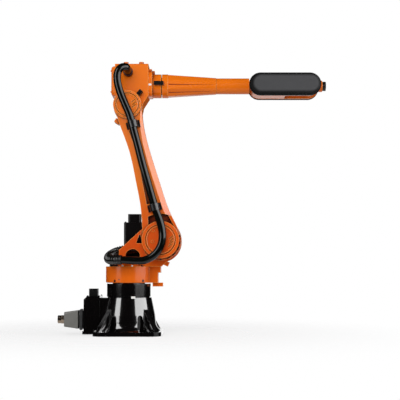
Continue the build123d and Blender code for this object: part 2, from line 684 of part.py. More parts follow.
def elbow_housing():
    near, far = HOUSING_NEAR_Y, HOUSING_FAR_Y
    rear, front = ELBOW_X + HOUSING_REAR, ELBOW_X + HOUSING_FRONT
    box = Rectangle(front - rear, HOUSING_TOP - HOUSING_BOTTOM, align=(Align.MIN, Align.MIN))
    shell = side_prism(Pos(rear, FOREARM_Z + HOUSING_BOTTOM) * box, near, far)
    shell = fillet(shell.edges().filter_by(Axis.X), HOUSING_EDGE)
    gusset = Polygon(
        (ELBOW_X - GUSSET_REAR, ELBOW_Z),
        (rear, FOREARM_Z + HOUSING_BOTTOM + GUSSET_HEIGHT),
        (front, FOREARM_Z + HOUSING_BOTTOM + GUSSET_HEIGHT),
        (front, FOREARM_Z + HOUSING_BOTTOM),
        (ELBOW_X + GUSSET_FRONT, ELBOW_Z),
        align=None,
    )
    shell += side_prism(gusset, near, ELBOW_GEAR_FAR_Y)
    shell += elbow_disc(ELBOW_GEAR_RADIUS, near, ELBOW_GEAR_STEP_Y)
    shell += elbow_disc(ELBOW_GEAR_STEP_RADIUS, ELBOW_GEAR_STEP_Y, ELBOW_GEAR_FAR_Y)
    for x in BOSS_PLACES:
        boss = Pos(ELBOW_X + x, near + BOSS_INSET) * Circle(BOSS_RADIUS)
        top = FOREARM_Z + HOUSING_TOP
        shell += plan_prism(boss, top, top + BOSS_HEIGHT)
    return shell + elbow_disc(ELBOW_BEARING_RADIUS, near - BEARING_DEPTH, near)


def rear_cover():
    """The domed cover behind the housing."""
    height = HOUSING_TOP - HOUSING_BOTTOM - 3 * REAR_COVER_INSET
    middle = FOREARM_Z + HOUSING_BOTTOM + height / 2
    width = HOUSING_FAR_Y - HOUSING_NEAR_Y - 2 * REAR_COVER_INSET
    place = Pos((HOUSING_FAR_Y + HOUSING_NEAR_Y) / 2, middle)
    plate = place * RectangleRounded(width, height, REAR_COVER_CORNER)
    front = ELBOW_X + HOUSING_REAR
    cover = end_prism(plate, front - REAR_COVER_THICKNESS, front)
    return fillet(cover.edges().group_by(Axis.X)[0], REAR_COVER_EDGE)


def j4_adapter():
    """The flanged sleeve that carries joint 4's bearing in front of the housing."""
    rear = ELBOW_X + HOUSING_FRONT
    front = HOUSING_FRONT + ADAPTER_FLANGE_THICKNESS
    plate = RectangleRounded(ADAPTER_FLANGE_WIDTH, ADAPTER_FLANGE_HEIGHT, ADAPTER_FLANGE_CORNER)
    body = end_prism(Pos(0, FOREARM_Z + ADAPTER_FLANGE_LIFT) * plate, rear, ELBOW_X + front)
    for step_front, top, width in ADAPTER_LUG_STEPS:
        lug = Pos(0, FOREARM_Z) * Rectangle(width, top, align=(Align.CENTER, Align.MIN))
        body += end_prism(lug, rear, ELBOW_X + step_front)
    body += forearm_rod(ADAPTER_RADIUS, front, ADAPTER_FRONT)
    return body + forearm_rod(FOREARM_BEARING_RADIUS, ADAPTER_FRONT, ADAPTER_FRONT + BEARING_DEPTH)


def j3_mark_cover():
    """The black block on the elbow beside the edge of the upper arm's head."""
    inner = ARM_HEAD_RADIUS + RUNNING_GAP
    block = Pos(inner + ELBOW_MARK_LENGTH / 2, 0) * Rectangle(ELBOW_MARK_LENGTH, MARK_COVER_WIDTH)
    place = Pos(ELBOW_X, ELBOW_Z) * Rot(0, 0, ELBOW_MARK_TURN)
    return side_prism(place * block, HOUSING_NEAR_Y - 2 * MARK_COVER_HEIGHT, HOUSING_NEAR_Y)


def j4_mark_cover():
    """The black block on the adapter that reaches across the gap of joint 4."""
    front = ADAPTER_FRONT + MARK_COVER_AHEAD
    place = Pos(ELBOW_X + front - MARK_COVER_LENGTH / 2, FOREARM_Z + MARK_COVER_LIFT)
    block = place * Rectangle(MARK_COVER_LENGTH, MARK_COVER_WIDTH)
    body = side_prism(block, -ADAPTER_RADIUS - MARK_COVER_HEIGHT, MARK_COVER_WIDTH / 2 - ADAPTER_RADIUS)
    clear = forearm_rod(ADAPTER_RADIUS + RUNNING_GAP, ADAPTER_FRONT, ADAPTER_FRONT + MARK_COVER_LENGTH)
    return body - clear - forearm_rod(ADAPTER_RADIUS, 0, ADAPTER_FRONT)


# Forearm


def forearm_flange():
    rear = ADAPTER_FRONT + RUNNING_GAP
    body = forearm_rod(ADAPTER_RADIUS, rear, rear + FOREARM_FLANGE_LENGTH)
    recess = BEARING_DEPTH - RUNNING_GAP + BEARING_GAP
    return body - forearm_rod(FOREARM_BEARING_RADIUS + BEARING_GAP, rear, rear + recess)


def eight_sided(radius, corner, x):
    """A rounded octagon square to joint 4's axis, with flats at top, bottom and sides."""
    outline = fillet(RegularPolygon(radius, 8, rotation=22.5).vertices(), corner)
    return Plane.YZ.offset(ELBOW_X + x) * Pos(0, FOREARM_Z) * outline


def forearm_tube():
    """Eight-sided at the flange, round where the wrist starts."""
    rear = ADAPTER_FRONT + RUNNING_GAP + FOREARM_FLANGE_LENGTH
    wrist_rear = WRIST_REACH + WRIST_HEIGHT / 2 - WRIST_LENGTH
    cone = loft(
        [
            eight_sided(CONE_REAR_RADIUS, CONE_REAR_CORNER, rear),
            eight_sided(CONE_FRONT_RADIUS, CONE_FRONT_CORNER, CONE_FRONT),
        ]
    )
    return cone + forearm_rod(TUBE_RADIUS, CONE_FRONT, wrist_rear + WRIST_INSET)


def wrist_outline(inset):
    """The long round-ended outline of the wrist, drawn in by an inset."""
    straight = WRIST_LENGTH - WRIST_HEIGHT
    place = Pos(WRIST_X - straight / 2, FOREARM_Z)
    return place * SlotCenterToCenter(straight, WRIST_HEIGHT - 2 * inset)


def wrist_fork():
    """Two tines on a solid heel. The hand turns between them."""
    body = side_prism(wrist_outline(WRIST_INSET), -WRIST_HALF_DEPTH, WRIST_HALF_DEPTH)
    tip = WRIST_X + WRIST_HEIGHT / 2
    gap = Rectangle(FORK_DEPTH, WRIST_HEIGHT, align=(Align.MAX, Align.CENTER))
    body -= side_prism(Pos(tip, FOREARM_Z) * gap, -FORK_GAP / 2, FORK_GAP / 2)
    pin_end = HAND_WIDTH / 2 + HAND_PIN_LENGTH + BEARING_GAP
    bore = Pos(WRIST_X, FOREARM_Z) * Circle(HAND_PIN_RADIUS + BEARING_GAP)
    body -= side_prism(bore, -pin_end, pin_end)
    wrist_rear = WRIST_REACH + WRIST_HEIGHT / 2 - WRIST_LENGTH
    return body - forearm_rod(TUBE_RADIUS, wrist_rear, wrist_rear + WRIST_INSET)


def near_wrist_cover():
    face = -WRIST_HALF_DEPTH - WRIST_COVER_THICKNESS
    rim = side_prism(wrist_outline(0), face + WRIST_COVER_STEP, -WRIST_HALF_DEPTH)
    return rim + side_prism(wrist_outline(WRIST_COVER_RIM), face, face + WRIST_COVER_STEP)


def far_wrist_cover():
    face = WRIST_HALF_DEPTH + WRIST_COVER_THICKNESS
    rim = side_prism(wrist_outline(0), WRIST_HALF_DEPTH, face - WRIST_COVER_STEP)
    return rim + side_prism(wrist_outline(WRIST_COVER_RIM), face - WRIST_COVER_STEP, face)


# Hand


def hand_block():
    half = HAND_WIDTH / 2
    centre = Pos(WRIST_X, FOREARM_Z)
    body = side_prism(centre * Circle(HAND_RADIUS), -half, half)
    body += forearm_rod(HAND_NOSE_RADIUS, WRIST_REACH, WRIST_REACH + HAND_NOSE_REACH)
    pin = half + HAND_PIN_LENGTH
    body += side_prism(centre * Circle(HAND_PIN_RADIUS), -pin, pin)
    front = WRIST_REACH + HAND_NOSE_REACH
    bore = front + RUNNING_GAP - TOOL_SHAFT_LENGTH - BEARING_GAP
    return body - forearm_rod(TOOL_SHAFT_RADIUS + BEARING_GAP, bore, front)


def tool_flange():
    rear = WRIST_REACH + HAND_NOSE_REACH + RUNNING_GAP
    front = rear + TOOL_FLANGE_THICKNESS
    body = forearm_rod(TOOL_FLANGE_RADIUS, rear, front)
    body += forearm_rod(TOOL_SHAFT_RADIUS, rear - TOOL_SHAFT_LENGTH, rear)
    body -= forearm_rod(TOOL_CENTRING_RADIUS, front - TOOL_CENTRING_DEPTH, front)
    for turn in range(TOOL_BOLT_COUNT):
        angle = radians(45 + 360 / TOOL_BOLT_COUNT * turn)
        hole = Pos(TOOL_BOLT_CIRCLE * cos(angle), FOREARM_Z + TOOL_BOLT_CIRCLE * sin(angle))
        body -= end_prism(
            hole * Circle(TOOL_BOLT_RADIUS), ELBOW_X + front - TOOL_BOLT_DEPTH, ELBOW_X + front
        )
    return body


# Hose

# The route, from the turret's socket round the rear of the arm and up to the elbow's fitting
HOSE_ROUTE = [
    (CONDUIT_SOCKET_X, CONDUIT_SOCKET_Y, CONDUIT_SOCKET_Z),
    (26, CONDUIT_SOCKET_Y, CONDUIT_SOCKET_Z),
    (-22, -12, 492),
    (-68, -14, 480),
    (-98, -54, 462),
    (-110, -106, 445),
    (-99, -156, 432),
    (-66, -190, 429),
    (-20, HOSE_Y, 431),
    (54, HOSE_Y, 425),
    (106, HOSE_Y, 426),
    (160, HOSE_Y, 456),
    (196, HOSE_Y, 508),
    (206, HOSE_Y, 568),
    (192, HOSE_Y, 640),
    (166, HOSE_Y, 704),
    (148, HOSE_Y, 762),
    (120, HOSE_Y, 862),
    (90, HOSE_Y, 968),
    (64, HOSE_Y, 1074),
    (36, HOSE_Y, 1176),
    (18, HOSE_Y, 1248),
    (-9, HOSE_Y, 1308),
    (-36, HOSE_Y, 1372),
    (-54, HOSE_Y, 1436),
    (-55, HOSE_Y, 1486),
    (-34, -204, 1519),
    (-4, -184, 1526),
    (HOSE_FITTING_X, -150, HOSE_FITTING_Z),
    (HOSE_FITTING_X, HOUSING_NEAR_Y - HOSE_FITTING_LENGTH, HOSE_FITTING_Z),
]
HOSE_STRETCHES = {
    "hose_conduit": (0, 7),
    "hose_lower": (7, 10),
    "hose_shoulder_span": (10, 14),
    "hose_upper": (14, 21),
    "hose_elbow_span": (21, 24),
    "hose_end": (24, 29),
}


def bend_radius(before, here, after):
    """The largest arc at a corner that its two runs leave room for."""
    arriving = Vector(*here) - Vector(*before)
    leaving = Vector(*after) - Vector(*here)
    half_turn = radians(arriving.get_angle(leaving)) / 2
    return BEND_SHARE * min(arriving.length, leaving.length) / tan(half_turn)


def hose_bends():
    """The arc radius at each corner of the route."""
    return [bend_radius(*HOSE_ROUTE[i - 1 : i + 2]) for i in range(1, len(HOSE_ROUTE) - 1)]


def middle_of_run(index):
    """Halfway along the run that starts at a corner, or the route's own end."""
    if index == 0 or index == len(HOSE_ROUTE) - 1:
        return HOSE_ROUTE[index]
    return tuple((a + b) / 2 for a, b in zip(HOSE_ROUTE[index], HOSE_ROUTE[index + 1]))


def hose_piece(start, end, radius):
    """The stretch of hose between the middles of two runs."""
    last_corner = min(end, len(HOSE_ROUTE) - 2)
    corners = HOSE_ROUTE[start + 1 : last_corner + 1]
    points = [middle_of_run(start)] + list(corners) + [middle_of_run(end)]
    radii = hose_bends()[start : start + len(corners)]
    path = FilletPolyline(points, radius=radii)
    section = Plane(origin=path @ 0, z_dir=path % 0) * Circle(radius)
    return sweep(section, path=path)


def hose_bore(name):
    """The room that a stretch of hose needs inside a clamp or a bracket."""
    start, end = HOSE_STRETCHES[name]
    return hose_piece(start, end, HOSE_RADIUS + BEARING_GAP)


def arm_clamp(distance, offset):
    """The clamp on the upper arm's near face: a plate, a saddle and a ring round the hose."""
    place = Pos(distance, offset)
    seat = ARM_BEAM_NEAR_Y - CLAMP_PLATE
    half = CLAMP_LENGTH / 2
    body = side_prism(on_arm(place * Rectangle(CLAMP_LENGTH, CLAMP_WIDTH)), seat, ARM_BEAM_NEAR_Y)
    saddle = place * Rectangle(CLAMP_LENGTH, 2 * CLAMP_RADIUS)
    body += side_prism(on_arm(saddle), HOSE_Y, seat)
    tilt = radians(UPPER_ARM_TILT)
    along = Vector(cos(tilt), 0, sin(tilt))
    leftward = Vector(-sin(tilt), 0, cos(tilt))
    foot = Vector(SHOULDER_X, HOSE_Y, SHOULDER_Z) + along * (distance - half) + leftward * offset
    body += extrude(Plane(origin=foot, z_dir=along) * Circle(CLAMP_RADIUS), amount=CLAMP_LENGTH)
    return body - hose_bore("hose_upper")


def hose_bracket():
    """The saddle that stands off the turret's strut and carries the start of the hose from behind."""
    place = Pos(STRUT_REAR_X + BRACKET_SETBACK, BRACKET_LOW_Z)
    block = place * Rectangle(BRACKET_LENGTH, BRACKET_HEIGHT, align=(Align.MIN, Align.MIN))
    return side_prism(block, HOSE_Y + BRACKET_REACH, CHEEK_NEAR_Y) - hose_bore("hose_lower")


def hose_fitting():
    """The collar on the housing's near face that the hose goes into."""
    collar = Pos(HOSE_FITTING_X, HOSE_FITTING_Z) * Circle(HOSE_FITTING_RADIUS)
    return side_prism(collar, HOUSING_NEAR_Y - HOSE_FITTING_LENGTH, HOUSING_NEAR_Y)


def build():
    nodes = {
        "base_casting": base_casting(),
        "connection_box": connection_box(),
        "box_lid": box_lid(),
        "box_top_plug": box_top_plug(),
        "connector_socket": connector_socket(),
        "connector_hood": connector_hood(),
        "locking_lever": locking_lever(),
        "cable_gland": cable_gland(),
        "turret_ring": turret_ring(),
        "turret_casting": turret_casting(),
        "j1_stop_tab": j1_stop_tab(),
        "j2_stop_block": j2_stop_block(),
        "j1_motor": base_motor_place() * motor(MOTOR_WIDTH, MOTOR_LENGTH),
        "j1_motor_cap": base_motor_place()
        * Pos(BASE_CAP_SHIFT, 0)
        * motor_cap(MOTOR_CAP_WIDTH, MOTOR_LENGTH, MOTOR_LENGTH + MOTOR_CAP_LENGTH),
        "j2_motor": shoulder_motor_place() * motor(MOTOR_WIDTH, SHOULDER_MOTOR_LENGTH),
        "j2_motor_cap": shoulder_motor_place()
        * motor_cap(MOTOR_CAP_WIDTH, SHOULDER_MOTOR_LENGTH, SHOULDER_MOTOR_LENGTH + MOTOR_CAP_LENGTH),
        "upper_arm_casting": upper_arm_casting(),
        "j2_hub_cover": j2_hub_cover(),
        "j3_hub_cover": j3_hub_cover(),
        "lower_hose_clamp": arm_clamp(LOWER_CLAMP_AHEAD, LOWER_CLAMP_OFFSET),
        "upper_hose_clamp": arm_clamp(UPPER_ARM_LENGTH - UPPER_CLAMP_BACK, UPPER_CLAMP_OFFSET),
        "hose_bracket": hose_bracket(),
        "hose_fitting": hose_fitting(),
        "elbow_housing": elbow_housing(),
        "rear_cover": rear_cover(),
        "j3_motor": elbow_motor_place() * motor(ELBOW_MOTOR_WIDTH, ELBOW_MOTOR_LENGTH),
        "j3_motor_cap": elbow_motor_place()
        * motor_cap(MOTOR_CAP_WIDTH, ELBOW_MOTOR_LENGTH, ELBOW_MOTOR_LENGTH + MOTOR_CAP_LENGTH),
        "j4_adapter": j4_adapter(),
        "j3_mark_cover": j3_mark_cover(),
        "j4_mark_cover": j4_mark_cover(),
        "forearm_flange": forearm_flange(),
        "forearm_tube": forearm_tube(),
        "wrist_fork": wrist_fork(),
        "near_wrist_cover": near_wrist_cover(),
        "far_wrist_cover": far_wrist_cover(),
        "hand_block": hand_block(),
        "tool_flange": tool_flange(),
    }
    for name, (start, end) in HOSE_STRETCHES.items():
        radius = CONDUIT_RADIUS if name == "hose_conduit" else HOSE_RADIUS
        nodes[name] = hose_piece(start, end, radius)
    return nodes


def main():
    os.makedirs("parts", exist_ok=True)
    print("hose bend radii:", [round(radius) for radius in hose_bends()])
    for name, shape in build().items():
        export_step(shape, f"parts/{name}.step")


if __name__ == "__main__":
    main()
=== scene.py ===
import math

import bmesh
import bpy
import numpy as np
from bpy.props import FloatProperty, FloatVectorProperty, PointerProperty
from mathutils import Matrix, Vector


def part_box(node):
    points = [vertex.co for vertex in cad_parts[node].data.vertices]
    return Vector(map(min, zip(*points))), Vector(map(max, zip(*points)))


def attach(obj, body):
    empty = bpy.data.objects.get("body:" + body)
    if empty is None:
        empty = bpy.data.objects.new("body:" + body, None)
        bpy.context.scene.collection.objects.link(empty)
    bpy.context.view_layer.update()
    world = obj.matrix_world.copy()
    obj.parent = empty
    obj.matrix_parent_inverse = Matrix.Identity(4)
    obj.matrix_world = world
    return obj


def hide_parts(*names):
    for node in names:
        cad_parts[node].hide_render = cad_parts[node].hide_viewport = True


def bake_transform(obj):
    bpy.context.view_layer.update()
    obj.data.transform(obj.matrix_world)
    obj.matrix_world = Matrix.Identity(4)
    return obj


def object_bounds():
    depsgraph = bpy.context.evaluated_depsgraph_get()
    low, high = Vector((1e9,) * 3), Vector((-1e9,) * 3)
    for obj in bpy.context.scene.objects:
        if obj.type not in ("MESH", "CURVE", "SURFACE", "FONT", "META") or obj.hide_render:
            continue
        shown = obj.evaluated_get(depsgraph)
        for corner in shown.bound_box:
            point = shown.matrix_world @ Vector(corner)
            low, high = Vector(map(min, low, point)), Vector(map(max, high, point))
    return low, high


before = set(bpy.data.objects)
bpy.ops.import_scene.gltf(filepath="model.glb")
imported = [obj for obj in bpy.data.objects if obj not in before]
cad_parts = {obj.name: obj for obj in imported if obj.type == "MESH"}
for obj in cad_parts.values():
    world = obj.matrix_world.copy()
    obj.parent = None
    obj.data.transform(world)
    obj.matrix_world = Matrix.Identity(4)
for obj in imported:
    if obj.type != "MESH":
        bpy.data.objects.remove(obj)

bl_info = {
    "name": "Industrial Robot Arm Finish",
    "version": (1, 0, 0),
    "blender": (4, 5, 0),
    "location": "3D View > Sidebar > Robot Arm",
    "description": "Paint, hose, screws and studio for a six-axis industrial robot arm",
    "category": "Object",
}

MM = 0.001
CAD_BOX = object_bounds()

NEAR_WAY = (0, -1, 0)
FAR_WAY = (0, 1, 0)
UP = (0, 0, 1)
REARWARD = (-1, 0, 0)


def linear(code):
    """An sRGB hex colour as linear red, green, blue and a full alpha."""
    shares = [int(code[i : i + 2], 16) / 255 for i in (0, 2, 4)]
    return (*[s / 12.92 if s <= 0.04045 else ((s + 0.055) / 1.055) ** 2.4 for s in shares], 1.0)


# Sizes and colours that a user would change


class RobotArmSizes(bpy.types.PropertyGroup):
    hose_diameter: FloatProperty(
        name="Hose diameter", description="Outer diameter of the dress hose",
        default=44 * MM, unit="LENGTH",
    )
    conduit_diameter: FloatProperty(
        name="Conduit diameter", description="Outer diameter over the ridges",
        default=56 * MM, unit="LENGTH",
    )
    conduit_pitch: FloatProperty(
        name="Ridge pitch", description="Distance from ridge to ridge",
        default=13 * MM, unit="LENGTH",
    )
    conduit_ridge: FloatProperty(
        name="Ridge height", description="Depth of the groove between ridges",
        default=5 * MM, unit="LENGTH",
    )
    hub_screw: FloatProperty(
        name="Hub screw", description="Thread of the screws round joint 2",
        default=6 * MM, unit="LENGTH",
    )
    small_screw: FloatProperty(
        name="Small screw", description="Thread of the screws round joint 3, in the clamps and in the lid",
        default=5 * MM, unit="LENGTH",
    )
    cover_screw: FloatProperty(
        name="Cover screw", description="Thread of the screws in the rear cover and the motors",
        default=6 * MM, unit="LENGTH",
    )
    tag_width: FloatProperty(
        name="Tag width", description="Width of the white tag on the neck",
        default=24 * MM, unit="LENGTH",
    )
    tag_height: FloatProperty(
        name="Tag height", description="Height of the white tag on the neck",
        default=13 * MM, unit="LENGTH",
    )


class RobotArmColours(bpy.types.PropertyGroup):
    arm_paint: FloatVectorProperty(
        name="Arm paint", description="Enamel of the forearm and elbow", subtype="COLOR", size=4,
        default=linear("E9740D"),
    )
    # The turret's enamel colour, made redder as painted shade for the dimmer light low on the arm
    turret_paint_and_shade: FloatVectorProperty(
        name="Turret paint", description="Enamel of the turret and upper arm", subtype="COLOR", size=4,
        default=linear("E05A10"),
    )
    # Painted shade: the deep red that hollows take, standing in for the shade that falls in them
    hollow_shade: FloatVectorProperty(
        name="Recess", description="Painted shade in hollows", subtype="COLOR", size=4,
        default=linear("6A1208"),
    )
    # Painted highlight: the pale orange that rounded edges take, standing in for light caught on them
    ridge: FloatVectorProperty(
        name="Ridge", description="Painted highlight on edges", subtype="COLOR", size=4,
        default=linear("FBA850"),
    )
    base: FloatVectorProperty(
        name="Base", description="Enamel of the base and the motors", subtype="COLOR", size=4,
        default=linear("080607"),
    )
    cover: FloatVectorProperty(
        name="Wrist cover", description="Moulded wrist cover", subtype="COLOR", size=4,
        default=linear("464648"),
    )
    hose: FloatVectorProperty(
        name="Hose", description="Hose jacket", subtype="COLOR", size=4,
        default=linear("070908"),
    )
    hood: FloatVectorProperty(
        name="Connector hood", description="Die-cast hood", subtype="COLOR", size=4,
        default=linear("757470"),
    )
    brass: FloatVectorProperty(
        name="Gland", description="Nickel-plated brass", subtype="COLOR", size=4,
        default=linear("8F867C"),
    )
    floor: FloatVectorProperty(
        name="Floor", description="Studio floor", subtype="COLOR", size=4,
        default=linear("F4F4F5"),
    )


# Materials

# How well an edge's rounded and true normals agree where it has all of its painted highlight, and none of
# it
EDGE_HIGHLIGHT_LIMITS = (0.8, 0.99)
# How open a hollow is where it has all of its painted shade, and none of it
HOLLOW_SHADE_LIMITS = (0.45, 0.97)
# Half of the width over which a rim fades in, in millimetres
RIM_FADE = 7


def new_material(name):
    """A material with an empty node tree, and the tree."""
    material = bpy.data.materials.new(name)
    material.use_nodes = True
    material.node_tree.nodes.clear()
    return material, material.node_tree


def add(tree, kind, inputs=(), **settings):
    """Adds a node, sets its settings, and sets or links its inputs."""
    node = tree.nodes.new(kind)
    for name, value in settings.items():
        setattr(node, name, value)
    for name, value in dict(inputs).items():
        if isinstance(value, bpy.types.NodeSocket):
            tree.links.new(value, node.inputs[name])
        else:
            node.inputs[name].default_value = value
    return node


def maths(tree, operation, *values):
    """The result of a sum on one or two values."""
    return add(tree, "ShaderNodeMath", dict(enumerate(values)), operation=operation).outputs[0]


def noise(tree, place, size, detail):
    """Noise with patches of a size in millimetres."""
    inputs = {"Vector": place, "Scale": 1 / (size * MM), "Detail": detail}
    return add(tree, "ShaderNodeTexNoise", inputs).outputs[0]


def share_between(tree, value, low, high):
    """How far a value has gone from low to high, from 0 to 1."""
    limits = {"Value": value, "From Min": low, "From Max": high}
    return add(tree, "ShaderNodeMapRange", limits).outputs[0]


def mixed(tree, share, first, second):
    """A colour that is the first where the share is 0 and the second where it is 1."""
    return add(tree, "ShaderNodeMix", {0: share, 6: first, 7: second}, data_type="RGBA").outputs[2]


def off_edges(tree, width):
    """0 on edges up to a width and 1 off them, from how the rounded normal turns off the true one. It
    places the painted highlight of edges.
    """
    rounded = add(tree, "ShaderNodeBevel", {"Radius": width * MM}, samples=6).outputs[0]
    flat = add(tree, "ShaderNodeNewGeometry").outputs["Normal"]
    facing = add(tree, "ShaderNodeVectorMath", {0: rounded, 1: flat}, operation="DOT_PRODUCT")
    return share_between(tree, facing.outputs["Value"], *EDGE_HIGHLIGHT_LIMITS)


def off_hollows(tree, depth):
    """0 in hollows of a depth and 1 in the open. It places the painted shade of hollows."""
    opening = add(
        tree, "ShaderNodeAmbientOcclusion", {"Distance": depth * MM}, samples=8, only_local=True
    )
    return share_between(tree, opening.outputs["AO"], *HOLLOW_SHADE_LIMITS)


def off_panel(tree, place, centre, straight, radius):
    """0 on a long round-ended panel and 1 off it. Its edge is where the length of (e, z) is the
    radius: e is |x| less half of the straight length, or 0, and x and z are from the centre."""
    part = add(tree, "ShaderNodeSeparateXYZ", {0: place}).outputs
    reach = maths(tree, "ABSOLUTE", maths(tree, "SUBTRACT", part[0], centre[0]))
    end = maths(tree, "MAXIMUM", maths(tree, "SUBTRACT", reach, straight), 0)
    rise = maths(tree, "SUBTRACT", part[2], centre[2])
    from_middle = add(tree, "ShaderNodeCombineXYZ", {0: end, 2: rise}).outputs[0]
    distance = add(tree, "ShaderNodeVectorMath", {0: from_middle}, operation="LENGTH").outputs["Value"]
    return share_between(tree, distance, radius - RIM_FADE * MM, radius + RIM_FADE * MM)


def coated(
    name, tones, patch, grain, relief, edge, rough, foot=None, ridge=None, hollow_shade=None, rim=None, **gloss
):
    """A coated surface whose colour drifts between two tones over patches, with a grain of its own
    size in its roughness and relief, and edges rounded to a radius. A foot is a tone and the two
    heights between which the surface goes over from it; the enamels use it to bound by height the
    redder tone that is painted shade. A ridge is a painted highlight: a tone and the width of the
    edges that take it. The tone of hollows, with the depth of the hollows that take it, is a painted
    shade. A rim is a tone and the long round-ended panel outside which the surface has it: its
    centre, half of its straight length and its radius, in metres. Other sizes are in millimetres."""
    material, tree = new_material(name)
    place = add(tree, "ShaderNodeTexCoord").outputs["Object"]
    colour = mixed(tree, noise(tree, place, patch, 3.0), *tones)
    # The foot's tone is set apart by height; the enamels use it to bound the redder tone that is painted
    # shade
    if foot:
        tone, low, high = foot
        height = add(tree, "ShaderNodeSeparateXYZ", {0: place}).outputs[2]
        colour = mixed(tree, share_between(tree, height, low * MM, high * MM), tone, colour)
    # The ridge tone is a painted highlight on edges
    if ridge:
        tone, width = ridge
        colour = mixed(tree, off_edges(tree, width), tone, colour)
    # The tone of hollows is a painted shade
    if hollow_shade:
        tone, depth = hollow_shade
        colour = mixed(tree, off_hollows(tree, depth), tone, colour)
    if rim:
        tone, *panel = rim
        colour = mixed(tree, off_panel(tree, place, *panel), colour, tone)
    speckle = noise(tree, place, grain, 2.0)
    limits = {"Value": speckle, "To Min": rough[0], "To Max": rough[1]}
    roughness = add(tree, "ShaderNodeMapRange", limits).outputs[0]
    rounding = add(tree, "ShaderNodeBevel", {"Radius": edge * MM}, samples=4).outputs[0]
    bumps = {"Height": speckle, "Distance": relief * MM, "Normal": rounding}
    skin = add(tree, "ShaderNodeBump", bumps).outputs[0]
    inputs = {"Base Color": colour, "Roughness": roughness, "Normal": skin, **gloss}
    shader = add(tree, "ShaderNodeBsdfPrincipled", inputs)
    add(tree, "ShaderNodeOutputMaterial", {"Surface": shader.outputs[0]})
    return material


def casting_enamel(name, tones, colours, hollow_shade, foot=None, **gloss):
    """Two-pack enamel sprayed on sand-cast aluminium: saturated, with a soft sheen and a slight orange
    peel. Its deep red in hollows is painted shade, and its bright lines along rounded edges are
    painted highlights. The peel is drawn at 12 mm, because the real 2 mm one is finer than the render."""
    return coated(
        name, tones, patch=160, grain=12, relief=0.015, edge=4, rough=(0.17, 0.22),
        # The ridge tone is the painted highlight of edges, and the tone of hollows the painted shade
        foot=foot, ridge=(colours.ridge, 7), hollow_shade=hollow_shade, **gloss,
    )


def arm_enamel(colours):
    """The enamel of the elbow and forearm: an even, bright orange."""
    tones = (colours.arm_paint, linear("E06A0D"))
    # Painted shade in hollows up to 40 mm deep
    return casting_enamel("arm_enamel", tones, colours, hollow_shade=(colours.hollow_shade, 40), IOR=1.32)


def turret_enamel(colours):
    """The same enamel, in a redder orange on the turret that is painted shade, but not on its ring."""
    # The redder tones are painted shade, and the hollows take painted shade 60 mm deep; the ring keeps a
    # brighter orange below 395 to 430 mm
    tones = (colours.turret_paint_and_shade, linear("D44C12"))
    ring = (linear("E7670D"), 395, 430)
    return casting_enamel(
        "turret_enamel", tones, colours, hollow_shade=(colours.hollow_shade, 60), foot=ring, IOR=1.36
    )


def upper_arm_enamel(colours):
    """The enamel of the upper arm, which goes over from the elbow's orange to the turret's redder one
    towards its lower end. That redder tone and the dark red in its hollows are painted shade.
    """
    tones = (colours.arm_paint, linear("E06A0D"))
    # Painted shade: redder below 640 to 860 mm, and dark red in hollows up to 70 mm deep
    hub = (colours.turret_paint_and_shade, 640, 860)
    return casting_enamel(
        "upper_arm_enamel", tones, colours, hollow_shade=(linear("420A08"), 70), foot=hub, IOR=1.5
    )


def painted_crease_shade(colours):
    """Painted shade for the forearm: a dark, dull red laid in thin strips along the cone's flats."""
    tones = (linear("8A2E0A"), linear("7A2408"))
    return coated(
        "painted_crease_shade", tones, patch=60, grain=8, relief=0.02, edge=1, rough=(0.3, 0.4), IOR=1.3
    )


def base_enamel(colours):
    """High-gloss black enamel on a machined iron casting: near black, with hard white reflections
    of the studio lights. The lacquer over it is what reflects."""
    tones = (colours.base, linear("0B0909"))
    lacquer = {"Coat Weight": 1.0, "Coat Roughness": 0.05, "Coat IOR": 1.7}
    return coated(
        "base_enamel", tones, patch=200, grain=14, relief=0.03, edge=4, rough=(0.12, 0.18), **lacquer
    )


def motor_enamel(colours):
    """Satin black enamel on an extruded aluminium housing: black with a broad, dull highlight."""
    tones = (colours.base, linear("0F0D0E"))
    return coated(
        "motor_enamel", tones, patch=90, grain=9, relief=0.1, edge=3, rough=(0.26, 0.36), IOR=1.32
    )


def moulded_cover(colours):
    """Glass-filled nylon, injection moulded with a spark-eroded grain: a dark grey, matte panel in a
    black rim. The grain is drawn at 7 mm, because the real 0.5 mm one is finer than the render."""
    tones = (colours.cover, linear("404042"))
    low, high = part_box("near_wrist_cover")
    centre = (low + high) / 2 + Vector((7, 0, 6)) * MM
    half_height = (high.z - low.z) / 2
    straight = (high.x - low.x) / 2 - half_height
    rim = (linear("060707"), centre, straight, half_height - 21 * MM)
    return coated(
        "moulded_cover", tones, patch=60, grain=7, relief=0.12, edge=3, rough=(0.4, 0.52), rim=rim, IOR=1.28
    )


def moulded_black(colours):
    """Black ABS for caps, clamps and small covers: black with soft, slightly grey highlights."""
    tones = (linear("0D0D0D"), linear("141414"))
    return coated("moulded_black", tones, patch=40, grain=6, relief=0.08, edge=2, rough=(0.24, 0.34))


def hose_jacket(colours):
    """Extruded polyurethane jacket: black, smooth, with long narrow highlights."""
    tones = (colours.hose, linear("0B0D0B"))
    return coated(
        "hose_jacket", tones, patch=70, grain=8, relief=0.02, edge=1, rough=(0.08, 0.12), IOR=1.36
    )


def conduit_polyamide(colours):
    """Corrugated polyamide tube: black, semi-gloss, with a small highlight on each ridge."""
    tones = (linear("0F100E"), linear("161715"))
    return coated(
        "conduit_polyamide", tones, patch=30, grain=6, relief=0.05, edge=0.5, rough=(0.1, 0.16), IOR=1.65
    )


def die_cast_hood(colours):
    """Powder-coated zinc die casting: mid grey, with a fine pebbled skin."""
    tones = (colours.hood, linear("696864"))
    return coated("die_cast_hood", tones, patch=25, grain=5, relief=0.25, edge=2, rough=(0.42, 0.55))


